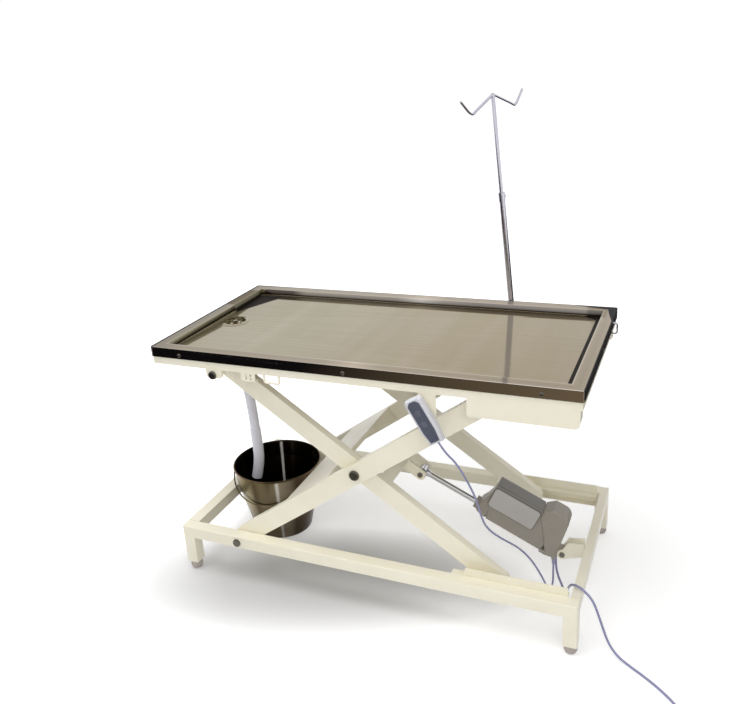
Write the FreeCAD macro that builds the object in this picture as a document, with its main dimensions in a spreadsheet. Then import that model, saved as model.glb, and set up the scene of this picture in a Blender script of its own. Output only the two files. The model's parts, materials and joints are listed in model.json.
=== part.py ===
import FreeCAD, Part
import Sketcher
import math
import os
from FreeCAD import Placement, Rotation, Vector

doc = FreeCAD.newDocument("operating_table")
sheet = doc.addObject("Spreadsheet::Sheet", "Sizes")
X_AXIS = Vector(1, 0, 0)
Y_AXIS = Vector(0, 1, 0)
Z_AXIS = Vector(0, 0, 1)
AXES = {"x": X_AXIS, "y": Y_AXIS, "z": Z_AXIS}
SIDES = (("front", -1), ("back", 1))
nodes = []


class Size:
    """A number together with the sheet formula that gives it."""

    def __init__(self, value, formula):
        self.value = value
        self.formula = formula

    def __add__(self, other):
        other = as_size(other)
        return Size(self.value + other.value, f"({self.formula} + {other.formula})")

    def __sub__(self, other):
        other = as_size(other)
        return Size(self.value - other.value, f"({self.formula} - {other.formula})")

    def __mul__(self, other):
        other = as_size(other)
        return Size(self.value * other.value, f"({self.formula} * {other.formula})")

    def __truediv__(self, other):
        other = as_size(other)
        return Size(self.value / other.value, f"({self.formula} / {other.formula})")

    def __radd__(self, other):
        return as_size(other) + self

    def __rsub__(self, other):
        return as_size(other) - self

    def __rmul__(self, other):
        return as_size(other) * self

    def __neg__(self):
        return Size(-self.value, f"(0 - {self.formula})")


def as_size(number):
    if isinstance(number, Size):
        return number
    return Size(float(number), f"({float(number)!r})" if number < 0 else repr(float(number)))


def num(number):
    return as_size(number).value


def size(name, value):
    """Put a driving dimension in the sheet and return it."""
    size.row += 1
    sheet.set(f"A{size.row}", name)
    sheet.set(f"B{size.row}", str(value))
    sheet.setAlias(f"B{size.row}", name)
    return Size(float(value), f"Sizes.{name}")


size.row = 0


def sine(degrees):
    return Size(math.sin(math.radians(degrees.value)), f"sin({degrees.formula} * 1 deg)")


def cosine(degrees):
    return Size(math.cos(math.radians(degrees.value)), f"cos({degrees.formula} * 1 deg)")


# Tray and its skirt
tray_length = size("tray_length", 1300)
tray_width = size("tray_width", 650)
skirt_height = size("skirt_height", 31)
lip_width = size("lip_width", 38)
tray_sheet = size("tray_sheet", 1.5)
tray_wall_slope = size("tray_wall_slope", 5)
tray_depth = size("tray_depth", 19)
tray_corner = size("tray_corner", 6)
drain_inset = size("drain_inset", 100)
drain_seat_side = size("drain_seat_side", 112)
drain_fall = size("drain_fall", 5)

# Tubes of the top frame
rail_height = size("rail_height", 24)
rail_width = size("rail_width", 40)
rail_end_inset = size("rail_end_inset", 4)
rail_side_inset = size("rail_side_inset", 4)
tube_wall = size("tube_wall", 2.5)
tube_corner = size("tube_corner", 3)
vent_radius = size("vent_radius", 4)

# Base frame
base_length = size("base_length", 1290)
base_width = size("base_width", 640)
base_tube = size("base_tube", 40)
base_top = size("base_top", 168)
base_end_tube = size("base_end_tube", 25)
foot_height = size("foot_height", 30)
foot_radius = size("foot_radius", 19)
foot_rounding = size("foot_rounding", 12)
foot_stem_radius = size("foot_stem_radius", 8)
foot_stem_length = size("foot_stem_length", 25)

# Scissor arms
pivot_from_centre = size("pivot_from_centre", 435)
pivot_below_base_top = size("pivot_below_base_top", 22)
arm_half_length = size("arm_half_length", 515)
arm_angle = size("arm_angle", 35)
arm_height = size("arm_height", 60)
arm_thickness = size("arm_thickness", 25)
arm_wall = size("arm_wall", 3)
arm_end_solid = size("arm_end_solid", 40)
arm_side_gap = size("arm_side_gap", 2)
pin_fit = size("pin_fit", 0.05)
side_play = size("side_play", 0.3)
pivot_radius = size("pivot_radius", 10)
pivot_head_radius = size("pivot_head_radius", 13)
pivot_head_height = size("pivot_head_height", 7)
centre_pin_radius = size("centre_pin_radius", 12)
centre_head_radius = size("centre_head_radius", 16)
nut_height = size("nut_height", 10)
nut_radius = size("nut_radius", 17)
spacer_radius = size("spacer_radius", 15)

# Tie between the outer arms and cross tube between the inner arms
tie_start = size("tie_start", 222)
tie_end = size("tie_end", 405)
tie_sheet = size("tie_sheet", 3)
tie_flange_end = size("tie_flange_end", 48)
tie_flange_middle = size("tie_flange_middle", 14)
tie_shoulder_share = size("tie_shoulder_share", 0.8)
tie_arch_share = size("tie_arch_share", 0.45)
tie_arch_rounding = size("tie_arch_rounding", 12)
cross_tube_side = size("cross_tube_side", 40)
cross_tube_from_centre = size("cross_tube_from_centre", 82)

# Rollers and their tracks
roller_radius = size("roller_radius", 14)
roller_width = size("roller_width", 20)
roller_crown = size("roller_crown", 1.5)
axle_radius = size("axle_radius", 8)
axle_end_play = size("axle_end_play", 1.5)
track_play = size("track_play", 0.5)
track_sheet = size("track_sheet", 3)
lower_track_start = size("lower_track_start", 275)
lower_track_end = size("lower_track_end", 612)
lower_track_depth = size("lower_track_depth", 26)
track_web_rise = size("track_web_rise", 25)
web_start = size("web_start", 309)
web_slant = size("web_slant", 11)
apron_start = size("apron_start", 350)
apron_end = size("apron_end", 640)
apron_drop = size("apron_drop", 53)
apron_corner = size("apron_corner", 14)
rail_above_pivot = size("rail_above_pivot", 18.2)

# Lugs that hang the top frame on the inner arms
lug_start = size("lug_start", 457)
lug_end = size("lug_end", 403)
lug_drop = size("lug_drop", 27)
lug_plate = size("lug_plate", 8)
lug_corner = size("lug_corner", 8)

# Linear actuator
actuator_y = size("actuator_y", -45)
front_pin_from_centre = size("front_pin_from_centre", 158)
rear_pin_x = size("rear_pin_x", 557)
rear_pin_z = size("rear_pin_z", 142)
actuator_pin_radius = size("actuator_pin_radius", 6)
pin_head_radius = size("pin_head_radius", 9)
pin_head_height = size("pin_head_height", 4)
eye_width = size("eye_width", 26)
eye_radius = size("eye_radius", 15)
clevis_plate = size("clevis_plate", 6)
clevis_gap = size("clevis_gap", 11)
clevis_end_radius = size("clevis_end_radius", 18)
stub_reach = size("stub_reach", 9)
rod_radius = size("rod_radius", 9)
rod_tail_from_rear = size("rod_tail_from_rear", 165)
outer_tube_radius = size("outer_tube_radius", 18)
nose_from_rear = size("nose_from_rear", 300)
nose_ring_length = size("nose_ring_length", 14)
nose_ring_radius = size("nose_ring_radius", 20)
housing_start = size("housing_start", 62)
housing_end = size("housing_end", 258)
housing_bottom = size("housing_bottom", 24)
housing_top = size("housing_top", 108)
housing_width = size("housing_width", 54)
housing_rounding = size("housing_rounding", 9)
cover_start = size("cover_start", 114)
cover_end = size("cover_end", 262)
cover_bottom = size("cover_bottom", 40)
cover_sheet = size("cover_sheet", 3)
cover_gap = size("cover_gap", 0.4)
cap_width = size("cap_width", 64)
cap_end = size("cap_end", 112)
cap_start = size("cap_start", 19)
cap_top = size("cap_top", 133)
cap_bottom = size("cap_bottom", 20)
cap_rounding = size("cap_rounding", 8)
cap_shoulder = size("cap_shoulder", 30)
tongue_width = size("tongue_width", 24)
tongue_radius = size("tongue_radius", 14)
rear_plate = size("rear_plate", 5)
rear_plate_rise = size("rear_plate_rise", 22)

# Drain
drain_bowl_radius = size("drain_bowl_radius", 38)
drain_flange_radius = size("drain_flange_radius", 49)
drain_flange_height = size("drain_flange_height", 2.5)
drain_wall = size("drain_wall", 2)
drain_bowl_depth = size("drain_bowl_depth", 26)
tailpipe_radius = size("tailpipe_radius", 14)
tailpipe_length = size("tailpipe_length", 55)
strainer_radius = size("strainer_radius", 35)
strainer_sheet = size("strainer_sheet", 2)
strainer_seat = size("strainer_seat", 6)
strainer_slots = size("strainer_slots", 8)
strainer_grip_height = size("strainer_grip_height", 7)
screw_spacing = size("screw_spacing", 545)
screw_head_radius = size("screw_head_radius", 6)
screw_head_height = size("screw_head_height", 3)
screw_shank_radius = size("screw_shank_radius", 3)
screw_length = size("screw_length", 9)
screw_below_top = size("screw_below_top", 20)

# Fittings on the front rail
loop_rod_radius = size("loop_rod_radius", 3.5)
loop_width = size("loop_width", 50)
loop_centre = size("loop_centre", -234)
loop_drop = size("loop_drop", 25)
clip_start = size("clip_start", -335)
clip_end = size("clip_end", -288)
clip_drop = size("clip_drop", 26)
clip_slot_width = size("clip_slot_width", 6)
clip_sheet = size("clip_sheet", 3)
hook_start = size("hook_start", 216)
hook_width = size("hook_width", 50)
hook_drop = size("hook_drop", 66)
hook_flange = size("hook_flange", 26)
end_loop_y = size("end_loop_y", 205)
end_loop_reach = size("end_loop_reach", 13)
end_loop_rod = size("end_loop_rod", 2.5)
end_loop_low = size("end_loop_low", 42)
end_loop_high = size("end_loop_high", 9)

# Infusion pole
pole_x = size("pole_x", 309)
pole_clear = size("pole_clear", 4)
pole_lean = size("pole_lean", 4.48)
pole_tube_radius = size("pole_tube_radius", 9.5)
pole_tube_wall = size("pole_tube_wall", 2.5)
pole_tube_low = size("pole_tube_low", 70)
pole_tube_high = size("pole_tube_high", 354)
pole_rod_radius = size("pole_rod_radius", 6.6)
pole_rod_tail = size("pole_rod_tail", 190)
pole_rod_top = size("pole_rod_top", 662)
pole_collar_radius = size("pole_collar_radius", 11)
pole_collar_length = size("pole_collar_length", 26)
socket_radius = size("socket_radius", 13)
socket_low = size("socket_low", 58)
socket_high = size("socket_high", 14)
hook_turn = size("hook_turn", 70.3)
hook_rod_radius = size("hook_rod_radius", 4.6)
hook_bend = size("hook_bend", 16)
valley_reach = size("valley_reach", 112)
valley_drop = size("valley_drop", 51)
tip_reach = size("tip_reach", 165)
tip_drop = size("tip_drop", 7)
knob_radius = size("knob_radius", 8)
knob_length = size("knob_length", 9)
knob_stem_radius = size("knob_stem_radius", 3)

# Handset
handset_x = size("handset_x", 240)
handset_below_rail = size("handset_below_rail", 69)
handset_tilt = size("handset_tilt", 30)
handset_width = size("handset_width", 52)
handset_length = size("handset_length", 137)
handset_depth = size("handset_depth", 24)
handset_gap = size("handset_gap", 0.3)
handset_rounding = size("handset_rounding", 7)
handset_waist = size("handset_waist", 42)
keypad_width = size("keypad_width", 36)
keypad_length = size("keypad_length", 124)
keypad_sheet = size("keypad_sheet", 1.5)
keypad_corner = size("keypad_corner", 9)
keypad_offset = size("keypad_offset", 10)
button_radius = size("button_radius", 9)
button_spacing = size("button_spacing", 34)
button_depth = size("button_depth", 4.5)
button_proud = size("button_proud", 1.6)
button_gap = size("button_gap", 0.4)
button_crown = size("button_crown", 1)
button_travel = size("button_travel", 1.2)

# Bucket
bucket_x = size("bucket_x", -463)
bucket_y = size("bucket_y", 20)
bucket_height = size("bucket_height", 260)
bucket_rim_radius = size("bucket_rim_radius", 153)
bucket_base_radius = size("bucket_base_radius", 88)
bucket_foot_radius = size("bucket_foot_radius", 106)
bucket_foot_height = size("bucket_foot_height", 20)
bucket_belly_radius = size("bucket_belly_radius", 128)
bucket_belly_height = size("bucket_belly_height", 118)
bucket_breast_radius = size("bucket_breast_radius", 146)
bucket_breast_height = size("bucket_breast_height", 200)
bucket_wall = size("bucket_wall", 1.2)
bead_radius = size("bead_radius", 3)
bail_rod_radius = size("bail_rod_radius", 2.5)
bail_gap = size("bail_gap", 13)
bail_below_rim = size("bail_below_rim", 18)
bail_hang = size("bail_hang", 31)
ear_width = size("ear_width", 16)
ear_sheet = size("ear_sheet", 2)

# Hose and cords
hose_radius = size("hose_radius", 17.5)
handset_cord_radius = size("handset_cord_radius", 3)
mains_cord_radius = size("mains_cord_radius", 3.5)
coil_inside = size("coil_inside", 28)
coil_width = size("coil_width", 21)
coil_height = size("coil_height", 21)
coil_x = size("coil_x", 985)
coil_y = size("coil_y", -520)
plug_length = size("plug_length", 38)
plug_radius = size("plug_radius", 15)
plug_rounding = size("plug_rounding", 4)
plug_pin_radius = size("plug_pin_radius", 2)
plug_pin_length = size("plug_pin_length", 19)
plug_pin_spacing = size("plug_pin_spacing", 19)
gland_radius = size("gland_radius", 6)
gland_length = size("gland_length", 20)
gland_boss_radius = size("gland_boss_radius", 7)
gland_from_pin = size("gland_from_pin", 25)
gland_spread = size("gland_spread", 20)
gland_face_drop = size("gland_face_drop", 16)
gland_boss_height = size("gland_boss_height", 30)

# Places worked out from the sizes above
half_length = tray_length / 2
half_width = tray_width / 2
base_half_length = base_length / 2
base_outer = base_width / 2
base_inner = base_outer - base_tube
base_bottom = base_top - base_tube
lower_pivot_z = base_top - pivot_below_base_top
arm_length = arm_half_length * 2
arm_rise = arm_length * sine(arm_angle)
arm_run = arm_length * cosine(arm_angle)
upper_pivot_z = lower_pivot_z + arm_rise
pivot_x = -pivot_from_centre
roller_x = pivot_x + arm_run
centre_x = pivot_x + arm_run / 2
centre_z = lower_pivot_z + arm_rise / 2
rail_bottom = upper_pivot_z + rail_above_pivot
rail_top = rail_bottom + rail_height
tray_top = rail_top + skirt_height
rail_outer = half_width - rail_side_inset
rail_inner = rail_outer - rail_width
rail_half_length = half_length - rail_end_inset
outer_arm_out = base_inner - arm_side_gap
outer_arm_in = outer_arm_out - arm_thickness
inner_arm_out = outer_arm_in - arm_side_gap
inner_arm_in = inner_arm_out - arm_thickness
drain_x = drain_inset - half_length
floor_edge_z = tray_top - tray_depth
floor_drain_z = floor_edge_z - drain_fall


def bind(item, prop, value):
    """Give a property the formula of a size, or a plain number."""
    value = as_size(value)
    item.setExpression(prop, value.formula)


def place(item, point, rotation=None):
    item.Placement = Placement(Vector(*[num(c) for c in point]), rotation or Rotation())
    for axis, value in zip("xyz", point):
        bind(item, f"Placement.Base.{axis}", value)
    return item


def turn_about_y(item, point, degrees):
    """Place an item at a point, turned about Y by an angle in degrees."""
    place(item, point, Rotation(Y_AXIS, num(degrees)))
    bind(item, "Placement.Rotation.Angle", degrees)
    return item


def unique(name):
    unique.count += 1
    return f"{name}_{unique.count}"


unique.count = 0


def keep(item, label):
    """Make an item a sub-part of its own, exported under its label."""
    item.Label = label
    nodes.append(item)
    return item


def box(x, y, z):
    item = doc.addObject("Part::Box", unique("block"))
    for prop, span in zip(("Length", "Width", "Height"), (x, y, z)):
        bind(item, prop, as_size(span[1]) - span[0])
    return place(item, (x[0], y[0], z[0]))


def mirrored_span(side, low, high):
    """The y range from low to high on one side of the middle plane."""
    low = as_size(low)
    high = as_size(high)
    return (-high, -low) if side < 0 else (low, high)


AXIS_TURNS = {
    "x": Rotation(Y_AXIS, 90),
    "y": Rotation(X_AXIS, -90),
    "z": Rotation(),
}


def cylinder(radius, start, axis, length):
    item = doc.addObject("Part::Cylinder", unique("cylinder"))
    bind(item, "Radius", radius)
    bind(item, "Height", length)
    return place(item, start, AXIS_TURNS[axis])


def cylinder_across(radius, x, z, span):
    """A cylinder along Y that fills a range of y."""
    return cylinder(radius, (x, span[0], z), "y", as_size(span[1]) - span[0])


def cone(radius_low, radius_high, start, axis, length):
    item = doc.addObject("Part::Cone", unique("cone"))
    bind(item, "Radius1", radius_low)
    bind(item, "Radius2", radius_high)
    bind(item, "Height", length)
    return place(item, start, AXIS_TURNS[axis])


def hexagon(radius, start, axis, length):
    item = doc.addObject("Part::Prism", unique("hexagon"))
    item.Polygon = 6
    bind(item, "Circumradius", radius)
    bind(item, "Height", length)
    return place(item, start, AXIS_TURNS[axis])


def fuse(*items):
    result = doc.addObject("Part::MultiFuse", unique("joined"))
    result.Shapes = list(items)
    return result


def cut(base, *tools):
    result = doc.addObject("Part::Cut", unique("cut"))
    result.Base = base
    result.Tool = tools[0] if len(tools) == 1 else fuse(*tools)
    return result


def straight_along(edge, axis):
    if not isinstance(edge.Curve, Part.Line):
        return False
    return abs(edge.tangentAt(edge.FirstParameter).dot(AXES[axis])) > 0.999


def rounded(base, radius, wanted):
    """Round those edges of an item that the test picks."""
    doc.recompute()
    result = doc.addObject("Part::Fillet", unique("rounded"))
    result.Base = base
    edges = [i + 1 for i, edge in enumerate(base.Shape.Edges) if wanted(edge)]
    result.Edges = [(i, num(radius), num(radius)) for i in edges]
    return result


def new_body(name):
    return doc.addObject("PartDesign::Body", unique(name))


def sketch_in(body, role):
    sketch = body.newObject("Sketcher::SketchObject", unique("sketch"))
    plane = next(f for f in body.Origin.OriginFeatures if f.Role == role)
    sketch.AttachmentSupport = [(plane, "")]
    sketch.MapMode = "FlatFace"
    return sketch


def fix_point(sketch, curve, end, point):
    """Tie a sketch point to its two distances from the sketch origin."""
    for kind, value in zip(("DistanceX", "DistanceY"), point):
        row = sketch.addConstraint(Sketcher.Constraint(kind, -1, 1, curve, end, num(value)))
        bind(sketch, f"Constraints[{row}]", value)


def polygon(sketch, points):
    """Draw a closed outline of straight lines through the points."""
    count = len(points)
    flat = [Vector(num(p[0]), num(p[1]), 0) for p in points]
    first = sketch.GeometryCount
    for i in range(count):
        sketch.addGeometry(Part.LineSegment(flat[i], flat[(i + 1) % count]), False)
    for i in range(count):
        after = first + (i + 1) % count
        sketch.addConstraint(Sketcher.Constraint("Coincident", first + i, 2, after, 1))
    for i, point in enumerate(points):
        fix_point(sketch, first + i, 1, point)


def circle(sketch, centre, radius):
    middle = Vector(num(centre[0]), num(centre[1]), 0)
    row = sketch.addGeometry(Part.Circle(middle, Z_AXIS, num(radius)), False)
    fix_point(sketch, row, 3, centre)
    limit = sketch.addConstraint(Sketcher.Constraint("Radius", row, num(radius)))
    bind(sketch, f"Constraints[{limit}]", radius)


def stadium(sketch, length, radius):
    """Draw the outline of a bar with half-round ends, from 0 to length."""
    end = Vector(num(length), 0, 0)
    r = num(radius)
    up = Vector(0, r, 0)
    left = Part.ArcOfCircle(Part.Circle(Vector(), Z_AXIS, r), math.pi / 2, 3 * math.pi / 2)
    right = Part.ArcOfCircle(Part.Circle(end, Z_AXIS, r), -math.pi / 2, math.pi / 2)
    low = sketch.addGeometry(Part.LineSegment(-up, end - up), False)
    arc_right = sketch.addGeometry(right, False)
    high = sketch.addGeometry(Part.LineSegment(end + up, up), False)
    arc_left = sketch.addGeometry(left, False)
    pairs = ((low, 2, arc_right, 1), (arc_right, 2, high, 1), (high, 2, arc_left, 1),
             (arc_left, 2, low, 1))
    for pair in pairs:
        sketch.addConstraint(Sketcher.Constraint("Tangent", *pair))
    fix_point(sketch, arc_left, 3, (0, 0))
    sketch.addConstraint(Sketcher.Constraint("PointOnObject", arc_right, 3, -1))
    reach = sketch.addConstraint(Sketcher.Constraint("DistanceX", -1, 1, arc_right, 3, end.x))
    bind(sketch, f"Constraints[{reach}]", length)
    limit = sketch.addConstraint(Sketcher.Constraint("Radius", arc_left, r))
    bind(sketch, f"Constraints[{limit}]", radius)


def pad(body, sketch, length, midplane=True):
    feature = body.newObject("PartDesign::Pad", unique("pad"))
    feature.Profile = sketch
    feature.SideType = "Symmetric" if midplane else "One side"
    bind(feature, "Length", length)
    sketch.Visibility = False
    body.Tip = feature
    return feature


def pocket(body, sketch, length):
    feature = body.newObject("PartDesign::Pocket", unique("pocket"))
    feature.Profile = sketch
    feature.SideType = "Symmetric"
    bind(feature, "Length", length)
    body.Tip = feature
    return feature


def revolve(body, sketch):
    """Turn a sketch on the XZ plane a full turn about Z."""
    feature = body.newObject("PartDesign::Revolution", unique("revolution"))
    feature.Profile = sketch
    feature.ReferenceAxis = (sketch, ["V_Axis"])
    feature.Angle = 360
    body.Tip = feature
    return feature


def turned(points, place_at, rotation=None):
    """A turned piece whose half section is given as radius and height."""
    body = new_body("turned")
    sketch = sketch_in(body, "XZ_Plane")
    polygon(sketch, points)
    revolve(body, sketch)
    place(body, place_at, rotation)
    return body


def plate_xz(points, y_middle, thickness):
    """A flat plate standing in the XZ plane."""
    body = new_body("plate")
    sketch = sketch_in(body, "XZ_Plane")
    polygon(sketch, points)
    pad(body, sketch, thickness)
    place(body, (0, y_middle, 0))
    return body


def hollow_tube(x, y, z, wall, axis):
    """A square tube along an axis, open at both ends, with rounded corners."""
    outer = box(x, y, z)
    spans = {"x": x, "y": y, "z": z}
    inner = {key: (spans[key][0] + wall, spans[key][1] - wall) for key in spans}
    inner[axis] = (spans[axis][0] - 1, spans[axis][1] + 1)
    shell = cut(outer, box(inner["x"], inner["y"], inner["z"]))
    return shell, outer


def rounded_box(x, y, z, radius, axes):
    return rounded(box(x, y, z), radius, lambda e: any(straight_along(e, a) for a in axes))


def smooth_path(points, bend_share=0.45):
    """Straight runs joined by tangent arcs as large as the runs allow."""
    flat = [Vector(*[num(c) for c in p]) for p in points]
    edges = []
    radii = []
    start = flat[0]
    for i in range(1, len(flat) - 1):
        before = flat[i] - flat[i - 1]
        after = flat[i + 1] - flat[i]
        turn = before.getAngle(after)
        cut_back = bend_share * min(before.Length, after.Length)
        radii.append(cut_back / math.tan(turn / 2))
        enter = flat[i] - before.normalize() * cut_back
        leave = flat[i] + after.normalize() * cut_back
        away = (after - before).normalize()
        to_centre = radii[-1] / math.cos(turn / 2)
        middle = flat[i] + away * (to_centre - radii[-1])
        edges.append(Part.LineSegment(start, enter).toShape())
        edges.append(Part.Arc(enter, middle, leave).toShape())
        start = leave
    edges.append(Part.LineSegment(start, flat[-1]).toShape())
    return Part.Wire(edges), radii


def tube_along(label, points, radius, bend_share=0.45):
    """A solid round bar or cord that follows a path of runs and arcs."""
    path, radii = smooth_path(points, bend_share)
    start = path.Edges[0]
    along = start.tangentAt(start.FirstParameter)
    ring = Part.Wire([Part.Circle(start.Vertexes[0].Point, along, num(radius)).toShape()])
    solid = path.makePipeShell([ring], True, False)
    item = doc.addObject("Part::Feature", unique(label))
    item.Shape = solid
    expected = math.pi * num(radius) ** 2 * path.Length
    share = solid.Volume / expected
    print(f"{label}: length {path.Length:.1f}, volume share {share:.4f}, "
          f"radii {' '.join(f'{r:.0f}' for r in radii)}")
    if abs(share - 1) > 0.01:
        raise ValueError(f"{label} has a bad sweep")
    return item


def pinned(x, z, radius, head_radius, head_height, side, head_at, end_at, nut_size):
    """A bolt across the frame with a domed head outside and a nut inside."""
    shank = cylinder_across(radius, x, z, mirrored_span(side, end_at, head_at))
    head_span = mirrored_span(side, head_at, head_at + head_height)
    head = cylinder_across(head_radius, x, z, head_span)
    outer_face = num(head_span[0] if side < 0 else head_span[1])

    def outer_rim(edge):
        return abs(edge.CenterOfMass.y - outer_face) < 0.01

    head = rounded(head, head_height * 0.5, outer_rim)
    nut_span = mirrored_span(side, end_at - nut_height, end_at)
    nut = hexagon(nut_size, (x, nut_span[0], z), "y", nut_height)
    return fuse(shank, head, nut)


# Base frame: two long tubes on legs, a cross tube at the left and a narrow one at the right
def base_rail(label, side):
    y_span = mirrored_span(side, base_inner, base_outer)
    y_inside = mirrored_span(side, base_inner + tube_wall, base_outer - tube_wall)
    x_span = (-base_half_length, base_half_length)
    pieces = [box(x_span, y_span, (base_bottom, base_top))]
    hollows = [box((x_span[0] + tube_wall, x_span[1] - tube_wall), y_inside,
                   (base_bottom + tube_wall, base_top - tube_wall))]
    leg_spans = ((x_span[0], x_span[0] + base_tube), (x_span[1] - base_tube, x_span[1]))
    for low, high in leg_spans:
        pieces.append(box((low, high), y_span, (foot_height, base_bottom)))
        hollows.append(box((low + tube_wall, high - tube_wall), y_inside,
                           (foot_height - 1, base_bottom + tube_wall + 1)))
    outside = fuse(*pieces)
    outside.Refine = True
    outer_y = num(base_outer) * side

    def outer_edge(edge):
        along_tube = straight_along(edge, "x") and edge.CenterOfMass.z > num(base_top) - 1
        upright = straight_along(edge, "z") and abs(edge.CenterOfMass.y - outer_y) < 1
        return along_tube or upright

    outside = rounded(outside, tube_corner, outer_edge)
    bore = cylinder_across(pivot_radius + pin_fit, pivot_x, lower_pivot_z, y_span)
    return keep(cut(outside, *hollows, bore), label)


for name, side in SIDES:
    base_rail(f"base_rail_{name}", side)

cross_span = (-base_inner, base_inner)
left_cross, _ = hollow_tube((-base_half_length, -base_half_length + base_tube), cross_span,
                            (base_bottom, base_top), tube_wall, "y")
keep(left_cross, "base_cross_left")
right_cross, _ = hollow_tube((base_half_length - base_end_tube, base_half_length), cross_span,
                             (base_bottom, base_top), tube_wall, "y")
keep(right_cross, "base_cross_right")


# Rubber feet with a stem pushed up into each leg
def foot(x, y):
    r = foot_radius
    b = foot_rounding
    points = [(0, 0), (r - b, 0), (r - b * 0.3, b * 0.3), (r, b),
              (r, foot_height), (foot_stem_radius, foot_height),
              (foot_stem_radius, foot_height + foot_stem_length),
              (0, foot_height + foot_stem_length)]
    return turned(points, (x, y, 0))


leg_x = base_half_length - base_tube / 2
leg_y = base_outer - base_tube / 2
keep(fuse(*[foot(leg_x * i, leg_y * j) for i in (-1, 1) for j in (-1, 1)]), "rubber_feet")


# Lower tracks: a bent channel on the inner face of each long tube
def lower_track(label, side):
    web_y = mirrored_span(side, base_inner - track_sheet, base_inner)
    flange_y = mirrored_span(side, base_inner - lower_track_depth, base_inner)
    roof = lower_pivot_z + roller_radius + track_play
    bed = lower_pivot_z - roller_radius - track_play
    web_top = base_top + track_web_rise
    outline = [(lower_track_start, bed - track_sheet), (lower_track_end, bed - track_sheet),
               (lower_track_end, web_top), (web_start + web_slant, web_top),
               (web_start, roof + track_sheet), (lower_track_start, roof + track_sheet)]
    web = plate_xz(outline, (web_y[0] + web_y[1]) / 2, track_sheet)
    floor_strip = box((lower_track_start, lower_track_end), flange_y, (bed - track_sheet, bed))
    roof_strip = box((lower_track_start, lower_track_end), flange_y, (roof, roof + track_sheet))
    return keep(fuse(web, floor_strip, roof_strip), label)


for name, side in SIDES:
    lower_track(f"lower_track_{name}", side)

lower_bolts = [pinned(pivot_x, lower_pivot_z, pivot_radius, pivot_head_radius,
                      pivot_head_height, side, base_outer, outer_arm_in - side_play,
                      nut_radius) for _, side in SIDES]
keep(fuse(*lower_bolts), "lower_pivot_bolts")


# Scissor arms: box sections with half-round ends, bored at the pivots
def arm(label, y_middle, start, degrees, bores):
    body = new_body(label)
    outline = sketch_in(body, "XZ_Plane")
    stadium(outline, arm_length, arm_height / 2)
    pad(body, outline, arm_thickness)
    hollow = sketch_in(body, "XZ_Plane")
    middle_solid = centre_pin_radius + arm_wall * 6
    half_inside = arm_height / 2 - arm_wall
    cells = ((arm_end_solid, arm_half_length - middle_solid),
             (arm_half_length + middle_solid, arm_length - arm_end_solid))
    for low, high in cells:
        polygon(hollow, [(low, -half_inside), (high, -half_inside),
                         (high, half_inside), (low, half_inside)])
    pocket(body, hollow, arm_thickness - arm_wall * 2)
    holes = sketch_in(body, "XZ_Plane")
    for distance, radius in bores:
        circle(holes, (distance, 0), radius)
    pocket(body, holes, arm_thickness + 2)
    vents = sketch_in(body, "XY_Plane")
    for low, _ in cells:
        circle(vents, (low + vent_radius * 3, 0), vent_radius)
    vent = pocket(body, vents, arm_height)
    vent.SideType = "One side"
    bind(vent, "Length", arm_height)
    turn_about_y(body, (start[0], y_middle, start[1]), degrees)
    return body


def stub_axle(side, x, z, low, high):
    return cylinder_across(axle_radius, x, z, mirrored_span(side, low, high))


pivot_bore = pivot_radius + pin_fit
centre_bore = centre_pin_radius + pin_fit
upper_roller_in = outer_arm_out + axle_end_play
upper_axle_end = upper_roller_in + roller_width + axle_end_play
lower_roller_in = inner_arm_out + axle_end_play
lower_axle_end = lower_roller_in + roller_width + axle_end_play / 2

for name, side in SIDES:
    middle = (outer_arm_out + outer_arm_in) / 2 * side
    bar = arm(f"outer_bar_{name}", middle, (pivot_x, lower_pivot_z), -arm_angle,
              [(0, pivot_bore), (arm_half_length, centre_bore)])
    axle = stub_axle(side, roller_x, upper_pivot_z, outer_arm_out - arm_wall, upper_axle_end)
    keep(fuse(bar, axle), f"outer_arm_{name}")

for name, side in SIDES:
    middle = (inner_arm_out + inner_arm_in) / 2 * side
    bar = arm(f"inner_bar_{name}", middle, (pivot_x, upper_pivot_z), arm_angle,
              [(0, pivot_bore), (arm_half_length, centre_bore)])
    axle = stub_axle(side, roller_x, lower_pivot_z, inner_arm_out - arm_wall, lower_axle_end)
    keep(fuse(bar, axle), f"inner_arm_{name}")

centre_bolts = [pinned(centre_x, centre_z, centre_pin_radius, centre_head_radius,
                       pivot_head_height, side, outer_arm_out, inner_arm_in - side_play,
                       nut_radius) for _, side in SIDES]
keep(fuse(*centre_bolts), "centre_pivot_bolts")


# Folded tie plate between the outer arms, with an arched flange at each edge
def outer_tie():
    half_height = arm_height / 2
    top = box((tie_start, tie_end), (-outer_arm_in, outer_arm_in),
              (half_height - tie_sheet, half_height))
    pieces = [top]
    for position in (tie_start + tie_sheet / 2, tie_end - tie_sheet / 2):
        body = new_body("tie_flange")
        sketch = sketch_in(body, "YZ_Plane")
        low = half_height - tie_flange_end
        middle = half_height - tie_flange_middle
        shoulder = outer_arm_in * tie_shoulder_share
        inner = outer_arm_in * tie_arch_share
        polygon(sketch, [(-outer_arm_in, half_height), (-outer_arm_in, low), (-shoulder, low),
                         (-inner, middle), (inner, middle), (shoulder, low),
                         (outer_arm_in, low), (outer_arm_in, half_height)])
        pad(body, sketch, tie_sheet)
        place(body, (position, 0, 0))
        pieces.append(body)
    joined = fuse(*pieces)

    def arch_corner(edge):
        middle = edge.CenterOfMass
        return (straight_along(edge, "x") and abs(middle.y) < num(outer_arm_in) - 1
                and middle.z < num(half_height) - 4)

    return rounded(joined, tie_arch_rounding, arch_corner)


keep(turn_about_y(outer_tie(), (pivot_x, 0, lower_pivot_z), -arm_angle), "outer_arm_tie")

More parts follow.
